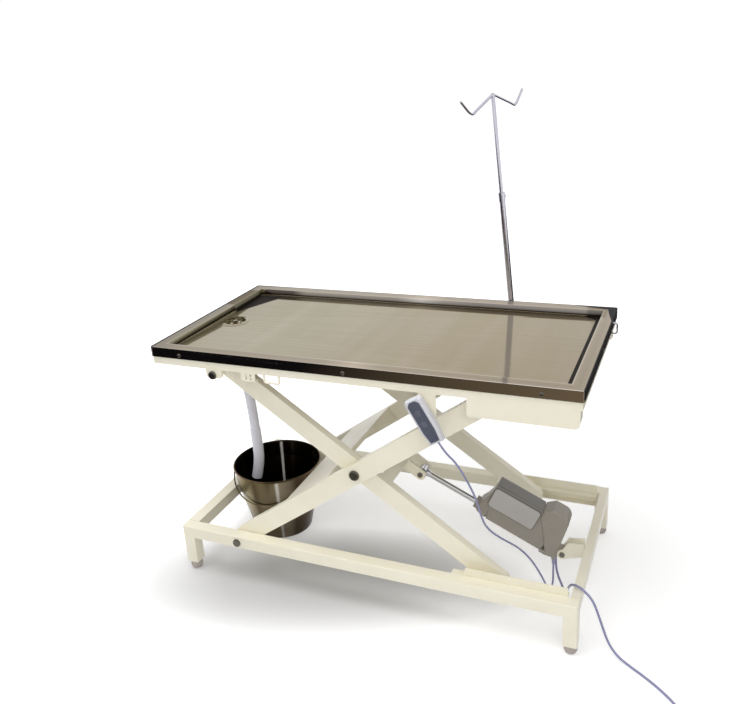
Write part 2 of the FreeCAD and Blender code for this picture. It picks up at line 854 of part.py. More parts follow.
# Cross tube between the inner arms and the two plates that the actuator pulls on
half_cross = cross_tube_side / 2
cross_start = arm_half_length + cross_tube_from_centre
cross_tube, _ = hollow_tube((cross_start - half_cross, cross_start + half_cross),
                            (-inner_arm_in, inner_arm_in), (-half_cross, half_cross),
                            tube_wall, "y")
keep(turn_about_y(cross_tube, (pivot_x, 0, upper_pivot_z), arm_angle), "inner_cross_tube")
front_pin_along = arm_half_length + front_pin_from_centre


def clevis_plate_at(y_low):
    flat = box((cross_start + half_cross, front_pin_along), (y_low, y_low + clevis_plate),
               (-clevis_end_radius, clevis_end_radius))
    nose = cylinder_across(clevis_end_radius, front_pin_along, 0, (y_low, y_low + clevis_plate))
    hole = cylinder_across(actuator_pin_radius + pin_fit, front_pin_along, 0,
                           (y_low - 1, y_low + clevis_plate + 1))
    return cut(fuse(flat, nose), hole)


near_plate_in = actuator_y - eye_width / 2 - clevis_gap
far_plate_in = actuator_y + eye_width / 2 + clevis_gap
bracket = fuse(clevis_plate_at(near_plate_in - clevis_plate), clevis_plate_at(far_plate_in))
keep(turn_about_y(bracket, (pivot_x, 0, upper_pivot_z), arm_angle), "actuator_front_bracket")


def stub_pin(y_head, y_face, y_tip):
    """A headed stub in one clevis plate, which stops short of the rod end."""
    low, high = (y_face, y_tip) if num(y_tip) > num(y_face) else (y_tip, y_face)
    pin = cylinder_across(actuator_pin_radius, front_pin_along, 0, (low, high))
    head_low = y_head if num(y_tip) > num(y_face) else y_face
    head = hexagon(pin_head_radius, (front_pin_along, head_low, 0), "y", pin_head_height)
    return fuse(pin, head)


near_outer = near_plate_in - clevis_plate
far_outer = far_plate_in + clevis_plate
stubs = fuse(stub_pin(near_outer - pin_head_height, near_outer, near_plate_in + stub_reach),
             stub_pin(far_outer + pin_head_height, far_outer, far_plate_in - stub_reach))
keep(turn_about_y(stubs, (pivot_x, 0, upper_pivot_z), arm_angle), "actuator_front_pins")


# Rollers with a crowned rim, free on their stub axles
def roller(label, side, x, z, y_in):
    r = roller_radius
    w = roller_width
    c = roller_crown
    bore = axle_radius + pin_fit
    points = [(bore, 0), (r - c, 0), (r, c), (r, w - c), (r - c, w), (bore, w)]
    start = y_in if side > 0 else -(y_in + w)
    return keep(turned(points, (x, start, z), AXIS_TURNS["y"]), label)


for name, side in SIDES:
    roller(f"upper_roller_{name}", side, roller_x, upper_pivot_z, upper_roller_in)
    roller(f"lower_roller_{name}", side, roller_x, lower_pivot_z, lower_roller_in)


# Top frame: a rail along each side with its hinge lug, and a cross tube at each end
def lug_block(side):
    y_span = mirrored_span(side, rail_outer - lug_plate, rail_outer)
    z_low = rail_bottom - lug_drop
    block = box((-lug_start, -lug_end), y_span, (z_low, rail_bottom + tube_wall / 2))
    low = num(z_low)
    return rounded(block, lug_corner,
                   lambda e: straight_along(e, "y") and e.CenterOfMass.z < low + 1)


for name, side in SIDES:
    y_span = mirrored_span(side, rail_inner, rail_outer)
    x_span = (-rail_half_length, rail_half_length)
    block = box(x_span, y_span, (rail_bottom, rail_top))
    outside = rounded(block, tube_corner, lambda e: straight_along(e, "x")
                      and (e.CenterOfMass.z > num(rail_top) - 1
                           or abs(e.CenterOfMass.y) < num(rail_inner) + 1))
    hollow = box((x_span[0] + tube_wall, x_span[1] - tube_wall),
                 (y_span[0] + tube_wall, y_span[1] - tube_wall),
                 (rail_bottom + tube_wall, rail_top - tube_wall))
    vent = cylinder(vent_radius, (0, (y_span[0] + y_span[1]) / 2, rail_bottom - 1), "z",
                    tube_wall + 2)
    tube = cut(outside, hollow, vent)
    spacer = cylinder_across(spacer_radius, pivot_x, upper_pivot_z,
                             mirrored_span(side, inner_arm_out + side_play, rail_outer - 1))
    bore = cylinder_across(pivot_radius + pin_fit, pivot_x, upper_pivot_z,
                           mirrored_span(side, inner_arm_out - 1, rail_outer + 1))
    keep(cut(fuse(tube, lug_block(side), spacer), bore), f"upper_rail_{name}")

for name, low, high in (("left", -rail_half_length, -rail_half_length + rail_width),
                        ("right", rail_half_length - rail_width, rail_half_length)):
    tube, _ = hollow_tube((low, high), (-rail_inner, rail_inner), (rail_bottom, rail_top),
                          tube_wall, "y")
    keep(tube, f"upper_cross_{name}")


# Upper tracks: an apron outside, a bed below and a liner above each roller
def upper_track(label, side):
    bed = upper_pivot_z - roller_radius - track_play
    liner = upper_pivot_z + roller_radius + track_play
    x_span = (apron_start, apron_end)
    apron = box(x_span, mirrored_span(side, rail_outer - track_sheet, rail_outer),
                (rail_bottom - apron_drop, rail_bottom))
    low = num(rail_bottom - apron_drop)
    right = num(apron_end)
    apron = rounded(apron, apron_corner, lambda e: straight_along(e, "y")
                    and e.CenterOfMass.z < low + 1 and e.CenterOfMass.x > right - 1)
    shelf_y = mirrored_span(side, rail_inner, rail_outer - track_sheet / 2)
    shelf = box(x_span, shelf_y, (bed - track_sheet, bed))
    roof = box(x_span, shelf_y, (liner, rail_bottom))
    stop = box((apron_end - track_sheet, apron_end), shelf_y, (bed, liner))
    return keep(fuse(apron, shelf, roof, stop), label)


for name, side in SIDES:
    upper_track(f"upper_track_{name}", side)

upper_bolts = [pinned(pivot_x, upper_pivot_z, pivot_radius, pivot_head_radius,
                      pivot_head_height, side, rail_outer, inner_arm_in - side_play,
                      nut_radius) for _, side in SIDES]
keep(fuse(*upper_bolts), "upper_pivot_bolts")


# Tray: a folded sheet with a flat lip and a floor that falls to the drain
def rectangle_wire(x, y, z):
    sketch = doc.addObject("Sketcher::SketchObject", unique("section"))
    polygon(sketch, [(x[0], y[0]), (x[1], y[0]), (x[1], y[1]), (x[0], y[1])])
    place(sketch, (0, 0, z))
    return sketch


def loft(*sections):
    item = doc.addObject("Part::Loft", unique("loft"))
    item.Sections = list(sections)
    item.Solid = True
    item.Ruled = True
    return item


def floor_hollow(inset, drop, top_z):
    """The space above a surface that falls from the walls to the drain."""
    edge_x = half_length - lip_width - inset
    edge_y = half_width - lip_width - inset
    seat = drain_seat_side / 2
    walls = loft(rectangle_wire((-edge_x + tray_wall_slope, edge_x - tray_wall_slope),
                                (-edge_y + tray_wall_slope, edge_y - tray_wall_slope),
                                floor_edge_z - drop),
                 rectangle_wire((-edge_x, edge_x), (-edge_y, edge_y), top_z))
    fall = loft(rectangle_wire((drain_x - seat, drain_x + seat), (-seat, seat),
                               floor_drain_z - drop),
                rectangle_wire((-edge_x + tray_wall_slope, edge_x - tray_wall_slope),
                               (-edge_y + tray_wall_slope, edge_y - tray_wall_slope),
                               floor_edge_z - drop))
    return fuse(walls, fall)


def make_tray():
    outer = rounded_box((-half_length, half_length), (-half_width, half_width),
                        (rail_top, tray_top), tray_corner, "z")
    basin = floor_hollow(0, 0, tray_top)
    lip_under = box((-half_length + tray_sheet, half_length - tray_sheet),
                    (-half_width + tray_sheet, half_width - tray_sheet),
                    (rail_top - 1, tray_top - tray_sheet))
    below = cut(lip_under, floor_hollow(-tray_sheet, tray_sheet, tray_top))
    hole = cylinder(drain_bowl_radius + pin_fit, (drain_x, 0, rail_top - 5), "z", skirt_height)
    screw_z = tray_top - screw_below_top
    screw_bores = []
    bore = screw_shank_radius + pin_fit
    for x in (-screw_spacing, 0, screw_spacing):
        screw_bores.append(cylinder(bore, (x, -half_width - 1, screw_z), "y", 4))
        screw_bores.append(cylinder(bore, (x, half_width - 3, screw_z), "y", 4))
    screw_bores.append(cylinder(bore, (-half_length - 1, 0, screw_z), "x", 4))
    screw_bores.append(cylinder(bore, (half_length - 3, 0, screw_z), "x", 4))
    return cut(outer, basin, below, hole, *screw_bores)


keep(make_tray(), "tray")


def skirt_screw(point, outward):
    """A domed screw whose axis points out of the skirt."""
    r = screw_head_radius
    tall = screw_head_height
    points = [(0, -screw_length), (screw_shank_radius, -screw_length), (screw_shank_radius, 0),
              (r, 0), (r, tall * 0.35), (r * 0.7, tall * 0.85), (0, tall)]
    return turned(points, point, Rotation(Z_AXIS, Vector(*outward)))


screw_z = tray_top - screw_below_top
screws = []
for x in (-screw_spacing, 0, screw_spacing):
    screws.append(skirt_screw((x, -half_width, screw_z), (0, -1, 0)))
    screws.append(skirt_screw((x, half_width, screw_z), (0, 1, 0)))
screws.append(skirt_screw((-half_length, 0, screw_z), (-1, 0, 0)))
screws.append(skirt_screw((half_length, 0, screw_z), (1, 0, 0)))
keep(fuse(*screws), "skirt_screws")

# Drain: a flanged bowl with a tailpipe, and a slotted strainer that lifts out
bowl_out = drain_bowl_radius
bowl_in = bowl_out - drain_wall
pipe_out = tailpipe_radius
pipe_in = pipe_out - drain_wall
neck_z = -drain_bowl_depth
pipe_z = neck_z - tailpipe_length
seat_z = -strainer_seat
drain_points = [(bowl_in, drain_flange_height), (drain_flange_radius, 0.6),
                (drain_flange_radius, 0), (bowl_out, 0), (bowl_out, neck_z * 0.6),
                (pipe_out, neck_z), (pipe_out, pipe_z), (pipe_in, pipe_z),
                (pipe_in, neck_z + drain_wall), (bowl_in - 3, neck_z * 0.6 + drain_wall),
                (bowl_in - 3, seat_z), (bowl_in, seat_z)]
keep(turned(drain_points, (drain_x, 0, floor_drain_z)), "drain_body")


def make_strainer():
    body = new_body("strainer")
    sketch = sketch_in(body, "XZ_Plane")
    r = strainer_radius
    polygon(sketch, [(0, 0), (r, 0), (r, strainer_sheet), (r * 0.3, strainer_sheet * 1.6),
                     (0, strainer_sheet * 1.6)])
    revolve(body, sketch)
    slots = sketch_in(body, "XY_Plane")
    inner = r * 0.48
    outer = r * 0.86
    half = r * 0.11
    polygon(slots, [(inner, -half), (outer, -half * 1.6), (outer, half * 1.6), (inner, half)])
    first = pocket(body, slots, strainer_sheet * 8)
    doc.recompute()
    pattern = body.newObject("PartDesign::PolarPattern", unique("slots"))
    pattern.Originals = [first]
    pattern.Axis = (slots, ["N_Axis"])
    pattern.Angle = 360
    pattern.Occurrences = int(num(strainer_slots))
    bind(pattern, "Occurrences", strainer_slots)
    body.Tip = pattern
    grip = r * 0.3
    half_bar = 2
    top = strainer_sheet * 1.5 + strainer_grip_height
    bars = [box((-grip, grip), (-half_bar, half_bar), (strainer_sheet, top)),
            box((-half_bar, half_bar), (-grip, grip), (strainer_sheet, top))]
    return fuse(body, *bars)


keep(place(make_strainer(), (drain_x, 0, floor_drain_z + seat_z)), "drain_strainer")

# Tie-down loops of bent rod, welded under the front rail and on the ends of the skirt
loop_y = -(rail_outer - loop_rod_radius - 1)
loop_low = rail_bottom - loop_drop
front_loop = tube_along("front_loop", [
    (loop_centre - loop_width / 2, loop_y, rail_bottom),
    (loop_centre - loop_width / 2, loop_y, loop_low),
    (loop_centre + loop_width / 2, loop_y, loop_low),
    (loop_centre + loop_width / 2, loop_y, rail_bottom)], loop_rod_radius, 0.3)


def end_loop(side):
    face = half_length * side
    out = face + end_loop_reach * side
    high = tray_top - end_loop_high
    low = tray_top - end_loop_low
    rail_face = rail_half_length * side
    return tube_along("end_loop", [(face, end_loop_y, high), (out, end_loop_y, high),
                                   (out, end_loop_y, low), (rail_face, end_loop_y, low)],
                      end_loop_rod, 0.4)


keep(front_loop, "front_tie_loop")
keep(end_loop(1), "end_tie_loop")

# Clip and handset hanger under the front rail
clip_y = (-rail_outer, -rail_outer + clip_sheet)
clip_plate = box((clip_start, clip_end), clip_y, (rail_bottom - clip_drop, rail_bottom))
clip_foot = box((clip_start, clip_end), (-rail_outer, -rail_outer + hook_flange * 0.6),
                (rail_bottom - clip_drop, rail_bottom - clip_drop + clip_sheet))
clip_slots = []
for share in (0.3, 0.62):
    left = clip_start + (clip_end - clip_start) * share
    clip_slots.append(box((left, left + clip_slot_width), (clip_y[0] - 1, clip_y[1] + 1),
                          (rail_bottom - clip_drop + clip_sheet * 1.5, rail_bottom - clip_sheet)))
keep(cut(fuse(clip_plate, clip_foot), *clip_slots), "cable_clip")

hook_y = (-rail_outer, -rail_outer + clip_sheet)
hook_span = (hook_start, hook_start + hook_width)
hook_low = rail_bottom - hook_drop
strip = box(hook_span, hook_y, (hook_low, rail_bottom))
flange = box(hook_span, (-rail_outer, -rail_outer + hook_flange),
             (rail_bottom - clip_sheet, rail_bottom))
handset_back = -rail_outer - clip_sheet * 2
peg_z = rail_bottom - handset_below_rail + handset_length * 0.3
peg = box((hook_start + hook_width * 0.1, hook_start + hook_width * 0.5),
          (handset_back, -rail_outer), (peg_z, peg_z + clip_sheet))
keep(fuse(strip, flange, peg), "handset_hanger")

# Handset: a rounded moulding with a waist, a keypad and two push buttons
handset_middle_y = handset_back - handset_gap - handset_depth / 2
handset_z = rail_bottom - handset_below_rail
handset_face = -handset_depth / 2


def handset_place(item):
    return turn_about_y(item, (handset_x, handset_middle_y, handset_z), -handset_tilt)


def make_handset_shell():
    body = new_body("handset")
    sketch = sketch_in(body, "XZ_Plane")
    half = handset_width / 2
    waist = handset_waist / 2
    top = handset_length / 2
    polygon(sketch, [(-waist, -top), (waist, -top), (half, -top * 0.35), (half, top * 0.9),
                     (half * 0.75, top), (-half * 0.75, top), (-half, top * 0.9),
                     (-half, -top * 0.35)])
    block = pad(body, sketch, handset_depth)
    doc.recompute()
    edges = [f"Edge{i + 1}" for i, e in enumerate(block.Shape.Edges)
             if abs(abs(e.CenterOfMass.y) - num(handset_depth) / 2) < 0.01]
    soft = body.newObject("PartDesign::Fillet", unique("soft_edges"))
    soft.Base = (block, edges)
    bind(soft, "Radius", handset_rounding * 0.7)
    body.Tip = soft
    return body


button_places = [keypad_offset + button_spacing * share for share in (0.5, -0.5)]
wells = [cylinder(button_radius + button_gap, (0, handset_face - 1, z), "y", button_depth + 1)
         for z in button_places]
keep(handset_place(cut(make_handset_shell(), *wells)), "handset_shell")


def make_keypad():
    body = new_body("keypad")
    sketch = sketch_in(body, "XZ_Plane")
    half = keypad_width / 2
    end = keypad_length / 2
    corner = keypad_corner
    polygon(sketch, [(-half + corner / 2, -end), (half - corner / 2, -end), (half, -end / 2),
                     (half, end - corner), (half - corner, end), (-half + corner, end),
                     (-half, end - corner), (-half, -end / 2)])
    pad(body, sketch, keypad_sheet)
    return place(body, (0, handset_face - keypad_sheet / 2, 0))


pad_plate = make_keypad()
pad_holes = [cylinder(button_radius + button_gap, (0, handset_face - keypad_sheet - 1, z), "y",
                      keypad_sheet + 2) for z in button_places]
keep(handset_place(cut(pad_plate, *pad_holes)), "handset_keypad")

for name, z in zip(("up", "down"), button_places):
    face = handset_face - keypad_sheet - button_proud
    key = cylinder(button_radius, (0, face, z), "y", keypad_sheet + button_proud + 1)
    key = rounded(key, button_crown, lambda e, y=num(face): abs(e.CenterOfMass.y - y) < 0.01)
    stem = cylinder(button_radius / 2, (0, face + button_crown, z), "y",
                    keypad_sheet + button_depth - button_travel)
    keep(handset_place(fuse(key, stem)), f"handset_button_{name}")


# Infusion pole, leaning a little, in a socket welded to the back rail
pole_y = half_width + pole_tube_radius + pole_clear
pole_origin = (pole_x, pole_y, tray_top)


def lean(item):
    return turn_about_y(item, pole_origin, -pole_lean)


socket_bore = pole_tube_radius + pin_fit
socket_ring = cut(cylinder(socket_radius, (0, 0, -socket_low), "z", socket_low - socket_high),
                  cylinder(socket_bore, (0, 0, -socket_low - 1), "z",
                           socket_low - socket_high + 2))
socket_arm = box((pole_x - socket_radius * 0.8, pole_x + socket_radius * 0.8),
                 (rail_outer, pole_y - pole_tube_radius - 1),
                 (rail_bottom + tube_wall, rail_top - tube_wall))
keep(fuse(lean(socket_ring), socket_arm), "pole_socket")


def ring_tube(radius, wall, low, high):
    return cut(cylinder(radius, (0, 0, low), "z", high - low),
               cylinder(radius - wall, (0, 0, low - 1), "z", high - low + 2))


tube = ring_tube(pole_tube_radius, pole_tube_wall, -pole_tube_low, pole_tube_high)
collar_low = pole_tube_high - pole_collar_length
collar = cut(cylinder(pole_collar_radius, (0, 0, collar_low), "z", pole_collar_length + 2),
             cylinder(pole_tube_radius - pole_tube_wall, (0, 0, collar_low - 1), "z",
                      pole_collar_length + 4))
knob_z = collar_low + pole_collar_length / 2
knob_hole = cylinder(knob_stem_radius + pin_fit, (0, 0, knob_z), "y", pole_collar_radius + 2)
keep(lean(cut(fuse(tube, collar), knob_hole)), "pole_tube")

stem_start = pole_rod_radius + 0.3
stem = cylinder(knob_stem_radius, (0, stem_start, knob_z), "y",
                pole_collar_radius + 4 - stem_start)
grip_start = pole_collar_radius + 2
grip = cylinder(knob_radius, (0, grip_start, knob_z), "y", knob_length)
grip = rounded(grip, 2, lambda e: True)
keep(lean(fuse(stem, grip)), "pole_clamp_knob")

rod = cylinder(pole_rod_radius, (0, 0, pole_tube_high - pole_rod_tail), "z",
               pole_rod_top - pole_tube_high + pole_rod_tail)


def hook_point(reach, height):
    return (reach * cosine(hook_turn), reach * sine(hook_turn), pole_rod_top + height)


def half_hook(side):
    near_valley = (valley_reach - hook_bend) * side
    past_valley = (valley_reach + hook_bend) * side
    points = [(0, 0, pole_rod_top - hook_rod_radius),
              hook_point(near_valley, -valley_drop + hook_bend / 2),
              hook_point(valley_reach * side, -valley_drop),
              hook_point(past_valley, -valley_drop + hook_bend / 2),
              hook_point(tip_reach * side, -tip_drop)]
    return tube_along("pole_hook", points, hook_rod_radius)


keep(lean(fuse(rod, half_hook(-1), half_hook(1))), "pole_rod")

# Linear actuator, drawn along -X from its rear pin and turned about it
rise = centre_z - front_pin_from_centre * sine(arm_angle) - rear_pin_z
run = rear_pin_x - centre_x - front_pin_from_centre * cosine(arm_angle)
actuator_length = Size(math.hypot(rise.value, run.value),
                       f"sqrt({rise.formula} * {rise.formula} + {run.formula} * {run.formula})")
actuator_angle = Size(math.degrees(math.atan2(rise.value, run.value)),
                      f"(atan({rise.formula} / {run.formula}) / 1 deg)")


def aim(item):
    return turn_about_y(item, (rear_pin_x, actuator_y, rear_pin_z), actuator_angle)


def profile_plate(points, width):
    body = new_body("profile")
    sketch = sketch_in(body, "XZ_Plane")
    polygon(sketch, points)
    pad(body, sketch, width)
    return body


screw_bore = rod_radius + 0.5
housing = profile_plate([(-housing_start, -housing_bottom), (-housing_start, housing_top),
                         (-housing_end, housing_top), (-housing_end, housing_bottom * 1.6),
                         (-housing_end + 10, -housing_bottom)], housing_width)
housing = rounded(housing, housing_rounding, lambda e: straight_along(e, "x"))
housing_bore = cylinder(screw_bore, (-housing_end - 1, 0, 0), "x",
                        housing_end - cap_start * 0.5)
keep(aim(cut(housing, housing_bore)), "actuator_housing")

cover_flush = housing_top + cover_gap + cover_sheet
cover_half = housing_width / 2 + cover_gap
cover_out = cover_half + cover_sheet
cover_top = housing_top + cover_gap
cover_block = box((-cover_end - cover_sheet, -cover_start), (-cover_out, cover_out),
                  (cover_bottom, cover_top + cover_sheet))
cover_block = rounded(cover_block, housing_rounding,
                      lambda e: straight_along(e, "x") and e.CenterOfMass.z > num(cover_top))
cover_room = box((-cover_end, -cover_start + 1), (-cover_half, cover_half),
                 (cover_bottom - 1, cover_top))
keep(aim(cut(cover_block, cover_room)), "actuator_cover")

cap_back_end = cap_start + 14
cap_crest_end = cap_end - (cap_top - cover_flush)
cap = profile_plate([(-cap_start, -cap_bottom), (-cap_start, cap_bottom),
                     (-cap_back_end, cap_top), (-cap_crest_end, cap_top),
                     (-cap_end, cover_flush), (-cap_end, housing_top * 0.8),
                     (-cap_end + cap_shoulder, housing_top * 0.35),
                     (-cap_start - cap_shoulder, -cap_bottom)], cap_width)
cap = rounded(cap, cap_shoulder, lambda e: straight_along(e, "y")
              and e.CenterOfMass.z > num(cap_top) - 1
              and e.CenterOfMass.x > -num(cap_back_end) - 1)
cap = rounded(cap, cap_rounding, lambda e: abs(abs(e.CenterOfMass.y) - num(cap_width) / 2) < 0.01)
cap_room = box((-cap_end - 1, -housing_start + 0.3),
               (-housing_width / 2 - 0.3, housing_width / 2 + 0.3),
               (-housing_bottom - 1, housing_top + 0.3))
tongue = fuse(box((-cap_start - 6, 0), (-tongue_width / 2, tongue_width / 2),
                  (-tongue_radius, tongue_radius)),
              cylinder_across(tongue_radius, 0, 0, (-tongue_width / 2, tongue_width / 2)))
tongue_bore = cylinder_across(actuator_pin_radius + pin_fit, 0, 0,
                              (-tongue_width / 2 - 1, tongue_width / 2 + 1))
cap_bore = cylinder(screw_bore, (-cap_end, 0, 0), "x", cap_end - cap_start - 6)
gland_x = rear_pin_x - gland_from_pin
gland_z = rear_pin_z - gland_face_drop
gland_places = ((gland_x, actuator_y - gland_spread, gland_z),
                (gland_x, actuator_y + gland_spread, gland_z))
bosses = [cylinder(gland_boss_radius, point, "z", gland_boss_height) for point in gland_places]
keep(fuse(aim(cut(fuse(cut(cap, cap_room), tongue), tongue_bore, cap_bore)), *bosses),
     "actuator_rear_cap")


def gland(label, point, cord_radius):
    """A soft sleeve that tapers down to the cord below the rear cap."""
    tip = cord_radius + 1.2
    points = [(0, 0), (gland_radius, 0), (gland_radius, -2), (tip, -gland_length),
              (0, -gland_length)]
    return keep(turned(points, point), label)


gland("handset_cord_gland", gland_places[0], handset_cord_radius)
gland("mains_cord_gland", gland_places[1], mains_cord_radius)

guide_bore = rod_radius + pin_fit
guide = fuse(cylinder(outer_tube_radius, (-nose_from_rear, 0, 0), "x",
                      nose_from_rear - housing_end),
             cylinder(nose_ring_radius, (-nose_from_rear, 0, 0), "x", nose_ring_length))
guide_hole = cylinder(guide_bore, (-nose_from_rear - 1, 0, 0), "x",
                      nose_from_rear - housing_end + 2)
keep(aim(cut(guide, guide_hole)), "actuator_outer_tube")

rod_from = -actuator_length + eye_radius * 0.6
rod_bar = cylinder(rod_radius, (rod_from, 0, 0), "x", -rod_tail_from_rear - rod_from)
eye_span = (-eye_width / 2, eye_width / 2)
eye = cylinder_across(eye_radius, -actuator_length, 0, eye_span)
eye_hole = cylinder_across(actuator_pin_radius + 1, -actuator_length, 0,
                           (-eye_width / 2 - 1, eye_width / 2 + 1))
neck = cone(rod_radius * 1.4, rod_radius, (rod_from + eye_radius * 0.3, 0, 0), "x",
            eye_radius)
keep(aim(cut(fuse(rod_bar, eye, neck), eye_hole)), "actuator_rod")


# Rear bracket: two plates welded to the right cross tube, with the pin through them
def rear_plate_at(y_low):
    face = base_half_length - base_end_tube
    tip = rear_pin_x
    r = tongue_radius + 2
    outline = [(face, base_top + rear_plate_rise), (face, base_top - rear_plate_rise),
               (tip, rear_pin_z - r), (tip, rear_pin_z + r), (tip + r, base_top + r)]
    plate = plate_xz(outline, y_low + rear_plate / 2, rear_plate)
    nose = cylinder_across(r, tip, rear_pin_z, (y_low, y_low + rear_plate))
    hole = cylinder_across(actuator_pin_radius + pin_fit, tip, rear_pin_z,
                           (y_low - 1, y_low + rear_plate + 1))
    return cut(fuse(plate, nose), hole)


rear_in = tongue_width / 2 + side_play
keep(fuse(rear_plate_at(actuator_y - rear_in - rear_plate), rear_plate_at(actuator_y + rear_in)),
     "actuator_rear_bracket")
rear_out = rear_in + rear_plate
rear_pin = cylinder_across(actuator_pin_radius, rear_pin_x, rear_pin_z,
                           (actuator_y - rear_out, actuator_y + rear_out))
rear_heads = [hexagon(pin_head_radius, (rear_pin_x, y, rear_pin_z), "y", pin_head_height)
              for y in (actuator_y - rear_out - pin_head_height, actuator_y + rear_out)]
keep(fuse(rear_pin, *rear_heads), "actuator_rear_pin")

# Bellied bucket with a rolled rim, two pierced ears and a bail that hangs in front
top_r = bucket_rim_radius
wall = bucket_wall
rim_low = bucket_height - bead_radius
outside = [(bucket_base_radius, 0), (bucket_foot_radius - wall * 3, bucket_foot_height / 4),
           (bucket_foot_radius, bucket_foot_height), (bucket_belly_radius, bucket_belly_height),
           (bucket_breast_radius, bucket_breast_height), (top_r, rim_low)]
inside = [(r - wall, z + wall / 2) for r, z in reversed(outside[1:-1])]
bucket_points = [(0, 0), *outside, (top_r + bead_radius, bucket_height - wall * 3),
                 (top_r + bead_radius, bucket_height - wall), (top_r, bucket_height),
                 (top_r - wall, bucket_height), *inside, (bucket_base_radius - wall, wall),
                 (0, wall)]
bail_z = bucket_height - bail_below_rim
bail_reach = top_r + bail_gap
ear_end = bail_reach - bail_rod_radius - ear_sheet


def ear_pin(side):
    """The straight end of the bail, which turns in the bore of one ear."""
    low, high = mirrored_span(side, top_r + bead_radius + 1, bail_reach + bail_rod_radius)
    return cylinder(bail_rod_radius, (low, 0, 0), "x", high - low)


def ear_bore(side):
    low, high = mirrored_span(side, top_r + bead_radius, bail_reach)
    return cylinder(bail_rod_radius + pin_fit, (low, 0, bail_z), "x", high - low)


def bucket_ear(side):
    x_span = mirrored_span(side, top_r - ear_sheet * 2, ear_end)
    return box(x_span, (-ear_width / 2, ear_width / 2),
               (bail_z - ear_width / 2, bail_z + ear_width / 2))


bucket_shell = turned(bucket_points, (0, 0, 0))
ear_room = turned([(0, bucket_belly_height), (bucket_belly_radius - wall, bucket_belly_height),
                   (bucket_breast_radius - wall, bucket_breast_height),
                   (top_r - wall, bucket_height), (0, bucket_height)], (0, 0, 0))
ears = cut(fuse(bucket_ear(-1), bucket_ear(1)), ear_room)
ear_bores = [ear_bore(side) for _, side in SIDES]
keep(place(cut(fuse(bucket_shell, ears), *ear_bores), (bucket_x, bucket_y, 0)), "bucket")

hang = math.radians(num(bail_hang))
reach = num(bail_reach)
bail_runs = 14
bail_middle = (bucket_x, bucket_y, bail_z)
bail_points = []
for i in range(bail_runs + 1):
    turn = math.pi * i / bail_runs
    bail_points.append((reach * math.cos(turn), -reach * math.sin(turn) * math.cos(hang),
                        -reach * math.sin(turn) * math.sin(hang)))
bail = tube_along("bail", bail_points, bail_rod_radius)
bail_ends = [ear_pin(side) for _, side in SIDES]
keep(place(fuse(bail, *bail_ends), bail_middle), "bucket_bail")

# Drain hose from the tailpipe down into the bucket
tailpipe_end_z = floor_drain_z + pipe_z
hose_points = [(drain_x, 0, tailpipe_end_z), (drain_x, 0, num(tailpipe_end_z) - 60),
               (-545, 4, 590), (-537, 8, 520), (-533, 10, 440), (-532, 11, 370),
               (-528, 8, 310), (-526, 2, 255), (-540, -4, 195)]
keep(tube_along("drain_hose", hose_points, hose_radius), "drain_hose")

# Cords: chosen routes of straight runs and large arcs
handset_exit = (num(handset_x) + 34.5, num(handset_middle_y), num(handset_z) - 59.8)
handset_cord_points = [handset_exit, (291, -338, 597), (317, -322, 560), (344, -302, 490),
                       (359, -276, 420), (358, -241, 354), (364, -206, 290), (394, -171, 240),
                       (442, -138, 195), (474, -119, 148), (497, -110, 103), (514, -104, 62),
                       (523, -97, 32), (529, -84, 24), (532, -70, 38), (532, -65, 68),
                       (532, -65, 106)]
keep(tube_along("handset_cord", handset_cord_points, handset_cord_radius), "handset_cord")

mains_points = [(532, -25, 106), (532, -25, 72), (542, -38, 44), (560, -66, 32),
                (574, -104, 42), (586, -146, 76), (597, -188, 122), (608, -224, 164),
                (626, -250, 188), (652, -264, 186), (678, -270, 162), (694, -276, 124),
                (708, -280, 84), (724, -286, 44), (750, -294, 14), (786, -310, 4),
                (826, -336, 3.6), (872, -372, 3.6), (918, -420, 3.6), (954.7, -480.7, 3.6)]
keep(tube_along("mains_cord", mains_points, mains_cord_radius), "mains_cord")

coil_out = coil_inside + coil_width
coil = turned([(coil_inside, 0), (coil_out, 0), (coil_out, coil_height),
               (coil_inside, coil_height)], (coil_x, coil_y, 0))
keep(coil, "mains_cord_coil")

plug_x = coil_x + coil_inside + coil_width / 2
plug_z = coil_height + plug_radius
plug_body = cylinder(plug_radius, (plug_x, coil_y - plug_length / 2, plug_z), "y", plug_length)
plug_body = rounded(plug_body, plug_rounding, lambda e: True)
plug_pins = [cylinder(plug_pin_radius, (plug_x + plug_pin_spacing * share,
                                        coil_y + plug_length / 2 - 1, plug_z), "y",
                      plug_pin_length) for share in (-0.5, 0.5)]
keep(fuse(plug_body, *plug_pins), "mains_plug")

# Finish: work everything out, test every shape and write the files
doc.recompute()
for item in doc.Objects:
    if "Invalid" in item.State or "Error" in item.State:
        raise ValueError(f"{item.Label} ({item.Name}) is in state {item.State}")

os.makedirs("parts", exist_ok=True)
for item in nodes:
    if item.Shape.isNull() or not item.Shape.isValid():
        raise ValueError(f"{item.Label} has no valid shape")
for item in nodes:
    item.Shape.exportStep(f"parts/{item.Label}.step")
print(len(nodes), "sub-parts")
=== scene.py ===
"""Looks of a height-adjustable veterinary operating table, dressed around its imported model."""

import json
import math

import bpy
import numpy as np
from mathutils import Matrix, Vector


